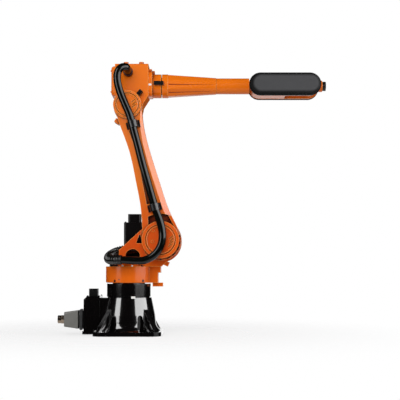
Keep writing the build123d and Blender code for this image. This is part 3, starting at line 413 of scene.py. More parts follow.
def bare_steel(colours):
    """Turned and ground steel: mid-grey metal with a soft shine."""
    tones = (linear("B4B5B6"), linear("A6A7A9"))
    return coated(
        "bare_steel", tones, patch=18, grain=4, relief=0.04, edge=1, rough=(0.26, 0.36), Metallic=1.0
    )


def blackened_steel(colours):
    """Phosphated steel: nearly black metal, such as screws that show as dark spots in the paint. It
    is the frame's own material, which has no grain."""
    return bpy.data.materials["blackened_steel"]


def plated_brass(colours):
    """Nickel-plated brass, worn through in places: brownish grey metal with a sharp shine."""
    tones = (colours.brass, linear("7C6853"))
    return coated(
        "plated_brass", tones, patch=14, grain=4, relief=0.04, edge=0.8, rough=(0.2, 0.32), Metallic=1.0
    )


def seal_rubber(colours):
    """Red-brown nitrile rubber of a seal: dull and dark."""
    tones = (linear("4A120C"), linear("3A0E0A"))
    return coated("seal_rubber", tones, patch=12, grain=4, relief=0.05, edge=0.5, rough=(0.5, 0.6))


def moulded_white(colours):
    """White ABS of small caps and tags: a little warm, with a soft shine."""
    tones = (linear("F2F1EC"), linear("E2E1DC"))
    return coated("moulded_white", tones, patch=12, grain=5, relief=0.02, edge=0.5, rough=(0.35, 0.45))


FINISHES = (
    arm_enamel,
    turret_enamel,
    upper_arm_enamel,
    painted_crease_shade,
    base_enamel,
    motor_enamel,
    moulded_cover,
    moulded_black,
    hose_jacket,
    conduit_polyamide,
    die_cast_hood,
    bare_steel,
    blackened_steel,
    plated_brass,
    seal_rubber,
    moulded_white,
)

# The CAD nodes of each finish. Every node that isn't here is in arm enamel
FINISH_NODES = {
    "turret_enamel": ("turret_ring", "turret_casting", "j1_stop_tab", "j2_stop_block", "j2_hub_cover"),
    "upper_arm_enamel": ("upper_arm_casting",),
    "base_enamel": ("base_casting", "connection_box", "box_lid"),
    "motor_enamel": (
        "j1_motor", "j1_motor_cap", "j2_motor", "j2_motor_cap", "j3_motor", "j3_motor_cap"
    ),
    "moulded_cover": ("near_wrist_cover", "far_wrist_cover"),
    "moulded_black": (
        "box_top_plug", "connector_socket", "lower_hose_clamp", "upper_hose_clamp", "hose_bracket",
        "j3_mark_cover", "j4_mark_cover",
    ),
    "hose_jacket": ("hose_fitting",),
    "die_cast_hood": ("connector_hood",),
    "bare_steel": ("locking_lever",),
    "blackened_steel": ("tool_flange",),
    "plated_brass": ("cable_gland",),
}
NODE_FINISH = {node: finish for finish, nodes in FINISH_NODES.items() for node in nodes}


class ROBOTARM_OT_paintwork(bpy.types.Operator):
    """Make the finishes and give one to each CAD node"""

    bl_idname = "robotarm.paintwork"
    bl_label = "Paintwork"

    def execute(self, context):
        colours = context.scene.robot_arm_colours
        materials = {material.name: material for material in (finish(colours) for finish in FINISHES)}
        for name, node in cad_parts.items():
            material = materials[NODE_FINISH.get(name, "arm_enamel")]
            if not node.material_slots:
                node.data.materials.append(material)
            for place in node.material_slots:
                place.material = material
        return {"FINISHED"}


# Surfaces worked out with numpy

# A direction that no stretch of the hose and no axis of a turned piece runs along
REFERENCE = (0.5, -0.6, 0.62)


def unit(vectors):
    """Vectors scaled to a length of one."""
    vectors = np.asarray(vectors, float)
    return vectors / np.linalg.norm(vectors, axis=-1, keepdims=True)


def corners_of_box(node):
    """The lowest and the highest corner of a node's box."""
    return np.array([list(corner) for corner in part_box(node)])


def grid_faces(rows, columns, copies=1):
    """Four corner numbers for each face of a grid that is closed round its columns, for each copy."""
    row, column = np.meshgrid(np.arange(rows - 1), np.arange(columns), indexing="ij")
    after = (column + 1) % columns
    corners = [row * columns + column, row * columns + after, (row + 1) * columns + after]
    corners.append((row + 1) * columns + column)
    one = np.stack(corners, axis=-1).reshape(-1, 4)
    return (one[None] + np.arange(copies)[:, None, None] * rows * columns).reshape(-1, 4)


def surface(name, points, faces, material, sharp=35):
    """A closed mesh object from points and faces, smooth except at edges sharper than an angle."""
    mesh = bpy.data.meshes.new(name)
    mesh.from_pydata(points.reshape(-1, 3), [], faces)
    shell = bmesh.new()
    shell.from_mesh(mesh)
    bmesh.ops.remove_doubles(shell, verts=shell.verts, dist=1e-6)
    bmesh.ops.recalc_face_normals(shell, faces=shell.faces)
    shell.to_mesh(mesh)
    shell.free()
    mesh.shade_smooth()
    mesh.set_sharp_from_angle(angle=math.radians(sharp))
    mesh.materials.append(bpy.data.materials[material])
    piece = bpy.data.objects.new(name, mesh)
    bpy.context.scene.collection.objects.link(piece)
    return piece


def turned(name, profile, places, axis, material, sides=24, stretch=(1, 1, 1)):
    """A turned shape at each place. The profile, in (radius, height, hexagon share), is carried round
    the axis; where the share is 1 the radius at angle t is r cos 30 / cos(t mod 60 - 30), a hexagon.
    The stretch multiplies the shape along x, y and z."""
    radius, height, share = np.array(profile, float).T[:, :, None]
    turn = np.linspace(0, 2 * np.pi, sides, endpoint=False)[None, :]
    hexagon = math.cos(math.pi / 6) / np.cos(np.mod(turn, math.pi / 3) - math.pi / 6)
    reach = radius * (1 - share + share * hexagon)
    axis = unit(axis)
    side = unit(np.cross(axis, REFERENCE))
    other = np.cross(axis, side)
    round_the_axis = np.cos(turn)[..., None] * side + np.sin(turn)[..., None] * other
    shape = (reach[..., None] * round_the_axis + height[..., None] * axis) * np.array(stretch)
    places = np.asarray(places, float).reshape(-1, 1, 1, 3)
    faces = grid_faces(len(profile), sides, len(places))
    return surface(name, places + shape[None], faces, material)


def block(name, low, high, power, edge, material, slot):
    """A block between two corners, in millimetres. Its outline is a superellipse: at angle t, the half
    width times a power of cos t, and the half depth times the same power of sin t. Its top edge is
    drawn in over the height of the edge."""
    sides = 48
    low, high = np.array([low, high], float) * MM
    middle, half = ((low + high) / 2)[:2], ((high - low) / 2)[:2]
    turn = np.linspace(0, 2 * np.pi, sides, endpoint=False) + math.pi / sides
    round_the_axis = np.stack([np.cos(turn), np.sin(turn)], axis=-1)
    outline = np.sign(round_the_axis) * np.abs(round_the_axis) ** power
    edge = edge * MM
    bend = edge * 0.3
    reach = np.array([half * 0, half, half, half - bend, half - edge, half * 0])
    height = np.array([low[2], low[2], high[2] - edge, high[2] - bend, high[2], high[2]])
    flat = middle + reach[:, None] * outline[None]
    points = np.concatenate([flat, np.broadcast_to(height[:, None, None], (*flat.shape[:2], 1))], axis=-1)
    return surface(name, points, grid_faces(len(height), sides), material)


def socket_screw(thread):
    """The profile of a cap screw's head, with its hexagon socket, on the face it is driven into."""
    shape = [(0, 0.4, 1), (0.45, 0.4, 1), (0.45, 0.85, 1), (0.72, 0.85, 0), (0.82, 0.75, 0)]
    shape += [(0.82, 0, 0), (0, 0, 0)]
    return [(r * thread, h * thread, s) for r, h, s in shape]


def flush_plug(radius, proud):
    """The profile of a flat round plug with a broken edge."""
    shape = [(0, proud), (radius - proud / 2, proud), (radius, proud / 2), (radius, 0), (0, 0)]
    return [(r, h, 0) for r, h in shape]


def nipple(size):
    """The profile of a grease nipple: a hexagon foot, a neck and a round head."""
    shape = [(0, 1.3, 0), (0.2, 1.28, 0), (0.3, 1.15, 0), (0.2, 0.95, 0), (0.24, 0.75, 0)]
    shape += [(0.55, 0.7, 1), (0.55, 0, 1), (0, 0, 0)]
    return [(r * size, h * size, s) for r, h, s in shape]


def bead(radius):
    """The profile of a bead round an axis: a flat-based ridge, eight millimetres wide."""
    shape = [(-4, 0), (-3.2, 2.6), (-1.4, 4), (1.4, 4), (3.2, 2.6), (4, 0), (-4, 0)]
    return [((radius + r) * MM, h * MM, 0) for r, h in shape]


def seal_lip():
    """The profile of a seal's lip: it hugs the hose and slopes down to the fitting's face."""
    shape = [(22.2, 0), (22.2, 1.5), (23, 2.5), (25.5, 2), (26.5, 0), (22.2, 0)]
    return [(r * MM, h * MM, 0) for r, h in shape]


# Hose

# The hose's route from the turret to the elbow, in millimetres
HOSE_ROUTE = [
    (70, -13, 498), (26, -13, 498), (-22, -12, 492), (-68, -14, 480), (-98, -54, 462),
    (-110, -106, 445), (-99, -156, 432), (-66, -190, 429), (-20, -205, 431), (54, -205, 425),
    (106, -205, 426), (160, -205, 456), (196, -205, 508), (206, -205, 568), (192, -205, 640),
    (166, -205, 704), (148, -205, 762), (120, -205, 862), (90, -205, 968), (64, -205, 1074),
    (36, -205, 1176), (18, -205, 1248), (-9, -205, 1308), (-36, -205, 1372), (-54, -205, 1436),
    (-55, -205, 1486), (-34, -204, 1519), (-4, -184, 1526), (-0.95, -150, 1516), (-0.95, -106, 1516),
]
# Each stretch of hose: the runs it goes from and to, the bodies it rides on and the node it stands for
HOSE_STRETCHES = {
    "conduit_sleeve": (0, 7, ("turret",), "hose_conduit"),
    "hose_on_turret": (7, 10, ("turret",), "hose_lower"),
    "hose_over_shoulder": (10, 14, ("turret", "upper_arm"), "hose_shoulder_span"),
    "hose_on_arm": (14, 21, ("upper_arm",), "hose_upper"),
    "hose_over_elbow": (21, 24, ("upper_arm", "elbow"), "hose_elbow_span"),
    "hose_at_housing": (24, 29, ("elbow",), "hose_end"),
}
# How closely a stretch is drawn: corners round it, millimetres from ring to ring, rings to a ridge of
# the conduit, and the fewest rings
HOSE_SIDES = 32
HOSE_STEP = 6
RINGS_TO_A_RIDGE = 8
FEWEST_RINGS = 8
# The collar over the conduit's end: the run it is on and half of its length in millimetres, then
# places along it, as shares of that half, and the millimetres its radius is cut by at each
COLLAR_RUN = 7
COLLAR_HALF = 16
COLLAR_SHARES = (-1, -0.94, -0.4, -0.36, -0.24, -0.2, 0.2, 0.24, 0.36, 0.4, 0.94, 1)
COLLAR_CUTS = (2, 0, 0, 2, 2, 0, 0, 2, 2, 0, 0, 2)


def hose_line():
    """Points along the hose: a NURBS spline with the route as its control points."""
    curve = bpy.data.curves.new("hose_line", "CURVE")
    curve.dimensions = "3D"
    curve.resolution_u = 24
    spline = curve.splines.new("NURBS")
    spline.points.add(len(HOSE_ROUTE) - 1)
    for point, place in zip(spline.points, HOSE_ROUTE):
        point.co = (*[value * MM for value in place], 1)
    spline.order_u = 3
    spline.use_endpoint_u = True
    guide = bpy.data.objects.new("hose_line", curve)
    bpy.context.scene.collection.objects.link(guide)
    bpy.context.view_layer.update()
    line = bpy.data.meshes.new_from_object(guide)
    points = np.empty(len(line.vertices) * 3)
    line.vertices.foreach_get("co", points)
    bpy.data.objects.remove(guide)
    return points.reshape(-1, 3)


def middle_of_run(index):
    """Halfway along a run of the route, where its spline touches it, or the route's own end."""
    route = np.array(HOSE_ROUTE, float) * MM
    if index in (0, len(route) - 1):
        return route[index]
    return (route[index] + route[index + 1]) / 2


def distances(line):
    """How far each point of a line is from its start, along it."""
    return np.concatenate([[0], np.cumsum(np.linalg.norm(np.diff(line, axis=0), axis=1))])


def nearest(line, place):
    """The number of the line's point that is nearest to a place."""
    return int(np.argmin(np.linalg.norm(line - place, axis=1)))


def points_at(line, along):
    """The points of a line at distances from its start."""
    own = distances(line)
    return np.stack([np.interp(along, own, line[:, i]) for i in range(3)], axis=1)


def stretch_of(line, start, end, step):
    """The part of the line between the middles of two runs, in even steps, and how far along each is."""
    part = line[nearest(line, middle_of_run(start)) : nearest(line, middle_of_run(end)) + 1]
    length = distances(part)[-1]
    even = np.linspace(0, length, max(FEWEST_RINGS, int(length / step)))
    return points_at(part, even), even


def hose_tube(name, line, radii, material):
    """A round section carried along a line: each ring is the radius times a circle that stands square
    to the line's own direction. Both ends are closed."""
    ahead = unit(np.gradient(line, axis=0))
    side = unit(np.cross(ahead, REFERENCE))
    other = np.cross(side, ahead)
    turn = np.linspace(0, 2 * np.pi, HOSE_SIDES, endpoint=False)
    circle = np.cos(turn)[None, :, None] * side[:, None] + np.sin(turn)[None, :, None] * other[:, None]
    rings = line[:, None] + radii[:, None, None] * circle
    first = np.repeat(line[:1, None], HOSE_SIDES, axis=1)
    last = np.repeat(line[-1:, None], HOSE_SIDES, axis=1)
    points = np.concatenate([first, rings, last])
    return surface(name, points, grid_faces(len(points), HOSE_SIDES), material, sharp=60)


class ROBOTARM_OT_hose(bpy.types.Operator):
    """Lay the hose from the turret to the elbow, bending over joints 2 and 3"""

    bl_idname = "robotarm.hose"
    bl_label = "Dress Hose"

    def execute(self, context):
        sizes = context.scene.robot_arm_sizes
        line = hose_line()
        for name, (start, end, bodies, node) in HOSE_STRETCHES.items():
            if name == "conduit_sleeve":
                piece, part = self.conduit(name, line, start, end, sizes)
            else:
                part, _ = stretch_of(line, start, end, HOSE_STEP * MM)
                radii = np.full(len(part), sizes.hose_diameter / 2)
                piece = hose_tube(name, part, radii, "hose_jacket")
            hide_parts(node)
            if len(bodies) == 2:
                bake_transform(piece)
            else:
                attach(piece, bodies[0])
        self.collar(line, sizes)
        return {"FINISHED"}

    def conduit(self, name, line, start, end, sizes):
        """The conduit's radius at distance d is the outer one less the ridge's height times the square
        of (1 - cos(2 pi d / pitch)) / 2."""
        part, along = stretch_of(line, start, end, sizes.conduit_pitch / RINGS_TO_A_RIDGE)
        groove = 0.5 - 0.5 * np.cos(2 * np.pi * along / sizes.conduit_pitch)
        radii = sizes.conduit_diameter / 2 - sizes.conduit_ridge * groove**2
        return hose_tube(name, part, radii, "conduit_polyamide"), part

    def collar(self, line, sizes):
        """The collar is a sleeve along the line over the conduit's end: its radius is the conduit's
        own, less the cuts in two grooves and at both ends."""
        middle = distances(line)[nearest(line, middle_of_run(COLLAR_RUN))]
        part = points_at(line, middle + np.array(COLLAR_SHARES) * COLLAR_HALF * MM)
        radii = sizes.conduit_diameter / 2 - np.array(COLLAR_CUTS) * MM
        piece = hose_tube("conduit_collar", part, radii, "moulded_black")
        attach(piece, "turret")


# Screws

# The face of the hub's flange, and the circles of the hub's and the head's screws, in millimetres
HUB_FLANGE_Y = -160
HUB_SCREW_CIRCLE = 111
HEAD_SCREW_CIRCLE = 73.7
# Degrees round a hub from its front: the hub's screws, the pins beside them and the head's screws
HUB_SCREW_ANGLES = (-129, -109, -89, -69, -49, -29, -9, 11, 31)
HUB_PIN_ANGLES = (-63, -43, -23)
HEAD_SCREW_ANGLES = range(15, 375, 30)
# How far an ear's screw is from the middle of a hose clamp, and how far an ear stands off the arm
CLAMP_EAR = 33
CLAMP_EAR_PROUD = 1
# Screws at the corners of a face: the node and the way it faces, how far in from the edges in
# millimetres, the property with the thread, the material and the body
CORNER_SCREWS = {
    "rear_cover_screws": ("rear_cover", REARWARD, 26, "cover_screw", "arm_enamel", "elbow"),
    "lid_screws": ("box_lid", UP, 7, "small_screw", "blackened_steel", "base"),
    "j1_motor_screws": ("j1_motor", UP, 10, "cover_screw", "blackened_steel", "turret"),
    "j2_motor_screws": ("j2_motor", FAR_WAY, 10, "cover_screw", "blackened_steel", "turret"),
    "j3_motor_screws": ("j3_motor", FAR_WAY, 9, "cover_screw", "blackened_steel", "elbow"),
}


def face_centre(node, axis):
    """The middle of a node's box on the side that an axis points to."""
    low, high = corners_of_box(node)
    axis = np.asarray(axis, float)
    return (low + high) / 2 + axis * (high - low) / 2


def corners_of_face(node, axis, inset):
    """The four corners of a node's face, drawn in from its edges."""
    low, high = corners_of_box(node)
    half = (high - low) / 2 - inset
    half[np.abs(axis).argmax()] = 0
    signs = np.array([(a, b, c) for a in (-1, 1) for b in (-1, 1) for c in (-1, 1)])
    return np.unique(np.round(face_centre(node, axis) + signs * half, 7), axis=0)


def near_ring(centre, radius, angles):
    """Places on a circle that faces the near side, at angles in degrees from its front."""
    angle = np.radians(np.array(angles, float))
    return centre + radius * MM * np.stack([np.cos(angle), 0 * angle, np.sin(angle)], axis=-1)


def clamp_ears(node):
    """The two places for screws on a clamp's ears: square to the upper arm, on the clamp's plate."""
    along = face_centre("j3_hub_cover", NEAR_WAY) - face_centre("j2_hub_cover", NEAR_WAY)
    across = unit(np.cross(along * (1, 0, 1), FAR_WAY))
    centre = corners_of_box(node).mean(axis=0)
    centre[1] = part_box("upper_arm_casting")[0].y - CLAMP_EAR_PROUD * MM
    return centre + np.array([[-1], [1]]) * CLAMP_EAR * MM * across


class ROBOTARM_OT_screws(bpy.types.Operator):
    """Drive the screws of the hubs, clamps, covers, motors and lids"""

    bl_idname = "robotarm.screws"
    bl_label = "Screws"

    def execute(self, context):
        sizes = context.scene.robot_arm_sizes
        hub = face_centre("j2_hub_cover", NEAR_WAY)
        hub[1] = HUB_FLANGE_Y * MM
        head = face_centre("j3_hub_cover", NEAR_WAY)
        head[1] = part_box("upper_arm_casting")[0].y
        small, dark, painted = sizes.small_screw, "blackened_steel", "arm_enamel"
        on_the_arm = {
            "hub_screws": (near_ring(hub, HUB_SCREW_CIRCLE, HUB_SCREW_ANGLES), sizes.hub_screw, dark),
            "hub_pins": (near_ring(hub, HUB_SCREW_CIRCLE, HUB_PIN_ANGLES), small, dark),
            "head_screws": (near_ring(head, HEAD_SCREW_CIRCLE, HEAD_SCREW_ANGLES), small, painted),
            "lower_clamp_screws": (clamp_ears("lower_hose_clamp"), small, dark),
            "upper_clamp_screws": (clamp_ears("upper_hose_clamp"), small, dark),
        }
        for name, (places, thread, material) in on_the_arm.items():
            self.drive(name, places, NEAR_WAY, thread, material, "upper_arm")
        for name, (node, axis, inset, thread, material, body) in CORNER_SCREWS.items():
            places = corners_of_face(node, axis, inset * MM)
            self.drive(name, places, axis, getattr(sizes, thread), material, body)
        return {"FINISHED"}

    def drive(self, name, places, axis, thread, material, body):
        """Screws of one kind, as one piece that rides on one body."""
        piece = turned(name, socket_screw(thread), places, axis, material)
        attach(piece, body)


# Plugs, caps and trim, with sizes in millimetres

# Plugs in the near side of the turret's ring: along x and z, and the radius. Then how far they stand
# proud, and how deep their foot is in the ring
RING_PLUGS = ((-72, 311.6, 7.5), (-47, 319, 4), (88, 312, 7.5))
RING_PLUG_PROUD = 1.6
RING_PLUG_SUNK = 1
# The oval plug on the near side of joint 4's adapter: along x and z, radius, proud, and its flatness
ADAPTER_PLUG = (124, 1446, 10.5, 2, 0.6)
# The small fittings that stand on the ring's top: along x and y, the profile, the material and slot
RING_FITTINGS = {
    "grease_nipple": (25, -104, nipple(10 * MM), "bare_steel", "steel"),
    "white_cap": (-29, -104, flush_plug(7 * MM, 9 * MM), "moulded_white", "grey_metal"),
    "dark_stud": (82, -92, socket_screw(9 * MM), "blackened_steel", "blackened_steel"),
}
# The saddle that stands on the ring under the conduit: its lowest and its highest corner, the power of
# its outline, and the height over which its top edge is drawn in
SADDLE = ((-106, -84, 393), (-57, -46, 424), 0.3, 3)
# The painted bracket beside the saddle, in the same way
BRACKET = ((-57, -88, 393), (56, -62, 413), 0.2, 5)
# The beads cast on the hubs: the cover they are round, their radius, and their place along y where
# that isn't the cover's own face
CAST_BEADS = {
    "hub_flange_bead": ("j2_hub_cover", 99, HUB_FLANGE_Y),
    "hub_cover_bead": ("j2_hub_cover", 77, None),
    "head_cover_bead": ("j3_hub_cover", 59, None),
}
# Thin dark strips of painted shade along the forearm's cone: degrees round joint 4's axis from the near
# side, where they start past the flange, how long they are, half their width at the rear and at the tip,
# how far they stand proud and how deep their foot is
CREASE_ANGLES = (0, -45, 180, 225)
CREASE_START = 6
CREASE_LENGTH = 262
CREASE_HALF_WIDTH = 3.6
CREASE_TIP = 0.3
CREASE_PROUD = 0.6
CREASE_SUNK = 1
# How far the cone's flats are from the axis at its rear, and how much nearer they come per millimetre
FLAT_REACH = 62.8
FLAT_TAPER = 0.0537
# The tag on the neck: its place along x and z, the neck's radius, how far the tag's outer face is from
# the base's axis, and how far its edges are broken and its foot is inside the neck
TAG_PLACE = (35, 217)
NECK_RADIUS = 128
TAG_REACH = 135
TAG_STEP = 1


class ROBOTARM_OT_fittings(bpy.types.Operator):
    """Fit the plugs, caps, nipple, seal, beads, saddle and bracket, the tag on the neck, and the forearm's
    strips of painted shade
    """

    bl_idname = "robotarm.fittings"
    bl_label = "Plugs and Trim"

    def execute(self, context):
        self.ring_plugs()
        x, z, radius, proud, flatness = ADAPTER_PLUG
        place = (x * MM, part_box("j4_adapter")[0].y, z * MM)
        piece = turned(
            "adapter_plug", flush_plug(radius * MM, proud * MM), place, NEAR_WAY, "moulded_white",
            stretch=(1, 1, flatness),
        )
        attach(piece, "elbow")
        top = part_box("turret_ring")[1].z
        for name, (x, y, profile, material, slot) in RING_FITTINGS.items():
            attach(turned(name, profile, (x * MM, y * MM, top), UP, material), "turret")
        face = face_centre("hose_fitting", NEAR_WAY)
        seal = turned("fitting_seal", seal_lip(), face, NEAR_WAY, "seal_rubber", sides=48)
        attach(seal, "elbow")
        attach(self.crease_shades(), "forearm")
        for name, (cover, radius, level) in CAST_BEADS.items():
            centre = face_centre(cover, NEAR_WAY)
            if level is not None:
                centre[1] = level * MM
            profile, paint = bead(radius), "upper_arm_enamel"
            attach(turned(name, profile, centre, NEAR_WAY, paint, sides=96), "upper_arm")
        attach(block("conduit_saddle", *SADDLE, "moulded_black", "black_plastic"), "turret")
        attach(block("saddle_bracket", *BRACKET, "turret_enamel", "orange_paint"), "turret")
        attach(self.tag(context.scene.robot_arm_sizes), "base")
        return {"FINISHED"}

    def ring_plugs(self):
        """Each plug faces out of the ring at its own place along x."""
        ring_radius = -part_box("turret_ring")[0].x / MM
        for number, (x, z, radius) in enumerate(RING_PLUGS):
            y = -math.sqrt(ring_radius**2 - x**2)
            place = np.array([[x, y + RING_PLUG_SUNK, z]]) * MM
            profile = flush_plug(radius * MM, RING_PLUG_PROUD * MM)
            name = f"ring_plug_{number + 1}"
            piece = turned(name, profile, place, (x, y, 0), "motor_enamel")
            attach(piece, "turret")

    def crease_shades(self):
        """Each strip of painted shade lies along the middle of one of the cone's flats, which nears the
        axis evenly. Its half width at share s of its length is the rear one times 1 - s, and the tip's."""
        low, high = corners_of_box("forearm_flange") / MM
        axis_height = (low[2] + high[2]) / 2
        share = np.concatenate([[0], np.linspace(0, 1, 40), [1]])[:, None]
        beyond = CREASE_START + CREASE_LENGTH * share
        half = CREASE_HALF_WIDTH * (1 - share) + CREASE_TIP
        half[[0, -1]] = 0
        across = half * np.array([-1, -0.6, 0.6, 1])
        proud = np.array([-CREASE_SUNK, CREASE_PROUD, CREASE_PROUD, -CREASE_SUNK]) + 0 * across
        proud[[0, -1]] = -CREASE_SUNK
        reach = FLAT_REACH - FLAT_TAPER * beyond + proud
        pieces = []
        for angle in np.radians(CREASE_ANGLES):
            y = -reach * math.cos(angle) + across * math.sin(angle)
            z = reach * math.sin(angle) + across * math.cos(angle) + axis_height
            pieces.append(np.stack([high[0] + beyond + 0 * across, y, z], axis=-1))
        points = np.stack(pieces) * MM
        faces = grid_faces(len(share), 4, len(pieces))
        # The strips are painted shade, standing in for the shade between lit facets of the cone
        return surface("forearm_crease_shades", points, faces, "painted_crease_shade")

    def tag(self, sizes):
        """The tag is a block bent round the neck: its inner face is a patch of a cylinder just inside
        the neck and its outer face one just outside the skirt's top edge."""
        x, z = (value * MM for value in TAG_PLACE)
        middle = math.asin(x / (TAG_REACH * MM))
        half_angle = sizes.tag_width / 2 / (TAG_REACH * MM)
        share = np.array([-1, -0.94, -0.5, 0, 0.5, 0.94, 1, 1, -1])
        angle = middle + half_angle * share
        edge, foot = TAG_REACH - TAG_STEP, NECK_RADIUS - TAG_STEP
        reach = np.array([edge] + [TAG_REACH] * 5 + [edge] + [foot] * 2) * MM
        rows = z + sizes.tag_height / 2 * np.array([-1, -1, 1, 1])
        core = np.array([reach * np.sin(angle), -reach * np.cos(angle)])
        inner = core.mean(axis=1, keepdims=True).repeat(len(share), axis=1)
        plans = zip([inner, core, core, inner], rows)
        points = np.stack([np.vstack([plan, np.full(len(share), row)]).T for plan, row in plans])
        return surface("neck_tag", points, grid_faces(4, len(share)), "moulded_white")


# Studio, with sizes in metres and angles in degrees

# Each lamp: its angle to the right of the camera and above the floor, how far away it is, its width
# and height, its radiance, and whether it is a panel that only shows in gloss
LAMPS = {
    "key_lamp": (-15, 27, 4.4, 3.6, 3.0, 3.5, False),
    "top_lamp": (40, 75, 4.2, 2.6, 2.6, 0.5, False),
    "right_lamp": (78, 8, 4.4, 2.6, 3.0, 3.2, False),
    "right_panel": (65, 21, 4.6, 6.0, 3.8, 5.4, True),
    "left_panel": (-51, 21, 4.6, 1.8, 3.8, 5.3, True),
    "low_panel": (62, -7, 4.6, 4.6, 1.2, 0.3, True),
}
# The strength of the world's plain light, where its white doesn't show
AMBIENT = 0.4
# The floor: half its width, how clear it is in the middle, and where it starts and ends to fade out
FLOOR_HALF = 3
FLOOR_CLEAR = 0.7
FLOOR_FADE = (0.4, 2.0)
# The cloth's tent: how far off its wall is, and the heights of the wall's foot and top. Straight
# behind the object, over an angle either way and a fade beyond it, the foot is raised
TENT_REACH = 8
TENT_FOOT = -4
TENT_TOP = 6
REAR_ANGLE = 24
REAR_FADE = 8
REAR_FOOT = 0.8
# What the camera's frame has in the photograph, in pixels: its width, its horizon and its focal length
FRAME_PIXELS = 400
HORIZON_PIXEL = 268
FOCAL_PIXELS = 909
# Where the camera stands, with the photograph's middle column ahead of it, and its upward tilt
CAMERA_PLACE = (0.4136, -5.3, 0.385)
CAMERA_TILT = 2.1


def softbox(name, turn, rise, distance, width, height, radiance, mirror_only):
    """A rectangular lamp that faces the object. It gives pi times its area times its radiance in
    watts. It either lights the object or only shows in its gloss."""
    low, high = CAD_BOX
    middle = (low + high) / 2
    middle.z = high.z / 3
    turn, rise = math.radians(turn), math.radians(rise)
    back = Vector((math.sin(turn) * math.cos(rise), -math.cos(turn) * math.cos(rise), math.sin(rise)))
    lamp = bpy.data.lights.new(name, "AREA")
    lamp.shape = "RECTANGLE"
    lamp.size = width
    lamp.size_y = height
    lamp.energy = math.pi * width * height * radiance
    holder = bpy.data.objects.new(name, lamp)
    holder.location = middle + back * distance
    holder.rotation_euler = back.to_track_quat("Z", "Y").to_euler()
    holder.visible_camera = False
    holder.visible_diffuse = not mirror_only
    holder.visible_glossy = mirror_only
    bpy.context.scene.collection.objects.link(holder)


def stage_surface(name, points, material):
    """An open grid surface of the studio."""
    rows, columns = points.shape[:2]
    row, column = np.meshgrid(np.arange(rows - 1), np.arange(columns - 1), indexing="ij")
    first = (row * columns + column).ravel()
    faces = np.stack([first, first + 1, first + columns + 1, first + columns], axis=-1)
    mesh = bpy.data.meshes.new(name)
    mesh.from_pydata(points.reshape(-1, 3), [], faces)
    mesh.materials.append(material)
    piece = bpy.data.objects.new(name, mesh)
    bpy.context.scene.collection.objects.link(piece)
    return piece


def painted_floor(colour):
    """Matt white floor paint, thin enough that only the shadow shows, that fades out into the white
    of the studio."""
    material, tree = new_material("painted_floor")
    place = add(tree, "ShaderNodeTexCoord").outputs["Object"]
    distance = add(tree, "ShaderNodeVectorMath", {0: place}, operation="LENGTH").outputs["Value"]
    start, end = FLOOR_FADE
    limits = {"Value": distance, "From Min": start, "From Max": end, "To Min": FLOOR_CLEAR}
    fade = add(tree, "ShaderNodeMapRange", limits, interpolation_type="SMOOTHSTEP").outputs[0]
    paint = add(tree, "ShaderNodeBsdfDiffuse", {"Color": colour}).outputs[0]
    clear = add(tree, "ShaderNodeBsdfTransparent").outputs[0]
    both = add(tree, "ShaderNodeMixShader", {0: fade, 1: paint, 2: clear})
    add(tree, "ShaderNodeOutputMaterial", {"Surface": both.outputs[0]})
    return material


def dark_cloth():
    """Black studio cloth, which gloss black paint needs in front of it to look black."""
    material, tree = new_material("dark_cloth")
    cloth = add(tree, "ShaderNodeBsdfDiffuse", {"Color": linear("0A0A0A")})
    add(tree, "ShaderNodeOutputMaterial", {"Surface": cloth.outputs[0]})
    return material


def tent():
    """The cloth's tent: a round wall and a roof that rises by two metres to its middle. The raised
    foot behind the object lets lower faces reflect the white there."""
    turn = np.radians(np.linspace(-180, 180, 73))[None, :]
    rear = np.clip((np.degrees(np.abs(turn)) - (180 - REAR_ANGLE - REAR_FADE)) / REAR_FADE, 0, 1)
    foot = TENT_FOOT + (REAR_FOOT - TENT_FOOT) * rear
    share = np.array([0, 0.25, 0.5, 0.75, 1, 1, 1])[:, None]
    reach = TENT_REACH * np.array([1, 1, 1, 1, 1, 0.5, 0])[:, None]
    lift = np.array([0, 0, 0, 0, 0, 1.5, 2])[:, None]
    height = foot + share * (TENT_TOP - foot) + lift
    return np.stack([reach * np.sin(turn), -reach * np.cos(turn), height], axis=-1)


def white_surroundings():
    """A world that is white where the camera, a reflection or glass shows it, and a plain ambient
    light elsewhere."""
    world = bpy.data.worlds.new("white_surroundings")
    bpy.context.scene.world = world
    world.use_nodes = True
    tree = world.node_tree
    tree.nodes.clear()
    ray = add(tree, "ShaderNodeLightPath").outputs
    seen = maths(tree, "ADD", ray["Is Camera Ray"], ray["Is Glossy Ray"])
    shown = add(tree, "ShaderNodeMath", {0: seen, 1: ray["Is Transmission Ray"]}, use_clamp=True)
    limits = {"Value": shown.outputs[0], "To Min": AMBIENT, "To Max": 1.0}
    strength = add(tree, "ShaderNodeMapRange", limits).outputs[0]
    light = add(tree, "ShaderNodeBackground", {"Color": linear("FFFFFF"), "Strength": strength})
    add(tree, "ShaderNodeOutputWorld", {"Surface": light.outputs[0]})


def camera():
    """The camera stands in front and is tilted up a little. The rest of the photograph's upward view
    is shift."""
    tilt = math.radians(CAMERA_TILT)
    lens = bpy.data.cameras.new("camera")
    lens.sensor_width = 36
    lens.lens = lens.sensor_width * FOCAL_PIXELS / FRAME_PIXELS
    below_middle = HORIZON_PIXEL - FRAME_PIXELS / 2
    lens.shift_y = (below_middle - FOCAL_PIXELS * math.tan(tilt)) / FRAME_PIXELS
    lens.clip_start = 0.1
    lens.clip_end = 100
    holder = bpy.data.objects.new("camera", lens)
    holder.location = CAMERA_PLACE
    holder.rotation_euler = (math.pi / 2 + tilt, 0, 0)
    bpy.context.scene.collection.objects.link(holder)
    bpy.context.scene.camera = holder


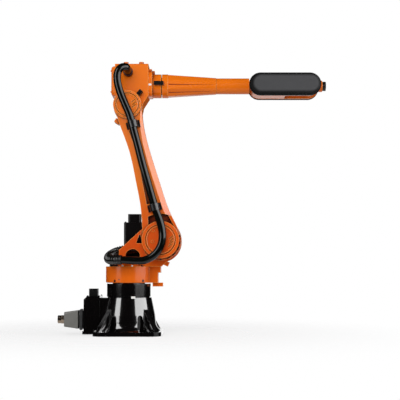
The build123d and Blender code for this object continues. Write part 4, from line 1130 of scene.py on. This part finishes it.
class ROBOTARM_OT_studio(bpy.types.Operator):
    """Set the floor, the dark cloth, the lamps, the world and the camera"""

    bl_idname = "robotarm.studio"
    bl_label = "Studio"

    def execute(self, context):
        colours = context.scene.robot_arm_colours
        across = np.linspace(-1, 1, 33) * FLOOR_HALF
        x, y = np.meshgrid(across, across)
        points = np.stack([x, y, np.zeros_like(x)], axis=-1)
        floor = stage_surface("studio_floor", points, painted_floor(colours.floor))
        floor.visible_glossy = False
        cloth = stage_surface("studio_cloth", tent(), dark_cloth())
        cloth.visible_camera = False
        cloth.visible_diffuse = False
        cloth.visible_shadow = False
        cloth.visible_transmission = False
        for name, lamp in LAMPS.items():
            softbox(name, *lamp)
        white_surroundings()
        camera()
        view = context.scene.view_settings
        view.view_transform = "Standard"
        return {"FINISHED"}


class ROBOTARM_PT_panel(bpy.types.Panel):
    bl_idname = "ROBOTARM_PT_panel"
    bl_label = "Robot Arm"
    bl_space_type = "VIEW_3D"
    bl_region_type = "UI"
    bl_category = "Robot Arm"

    def draw(self, context):
        for group in (context.scene.robot_arm_sizes, context.scene.robot_arm_colours):
            for name in group.bl_rna.properties.keys():
                if name not in ("rna_type", "name"):
                    self.layout.prop(group, name)
        for operator in OPERATORS:
            self.layout.operator(operator.bl_idname)


OPERATORS = (
    ROBOTARM_OT_paintwork,
    ROBOTARM_OT_hose,
    ROBOTARM_OT_screws,
    ROBOTARM_OT_fittings,
    ROBOTARM_OT_studio,
)
CLASSES = (RobotArmSizes, RobotArmColours, *OPERATORS, ROBOTARM_PT_panel)


def register():
    for cls in CLASSES:
        bpy.utils.register_class(cls)
    bpy.types.Scene.robot_arm_sizes = PointerProperty(type=RobotArmSizes)
    bpy.types.Scene.robot_arm_colours = PointerProperty(type=RobotArmColours)


def unregister():
    del bpy.types.Scene.robot_arm_colours
    del bpy.types.Scene.robot_arm_sizes
    for cls in reversed(CLASSES):
        bpy.utils.unregister_class(cls)


def main():
    register()
    bpy.ops.robotarm.paintwork()
    bpy.ops.robotarm.hose()
    bpy.ops.robotarm.screws()
    bpy.ops.robotarm.fittings()
    bpy.ops.robotarm.studio()


if __name__ == "__main__":
    main()
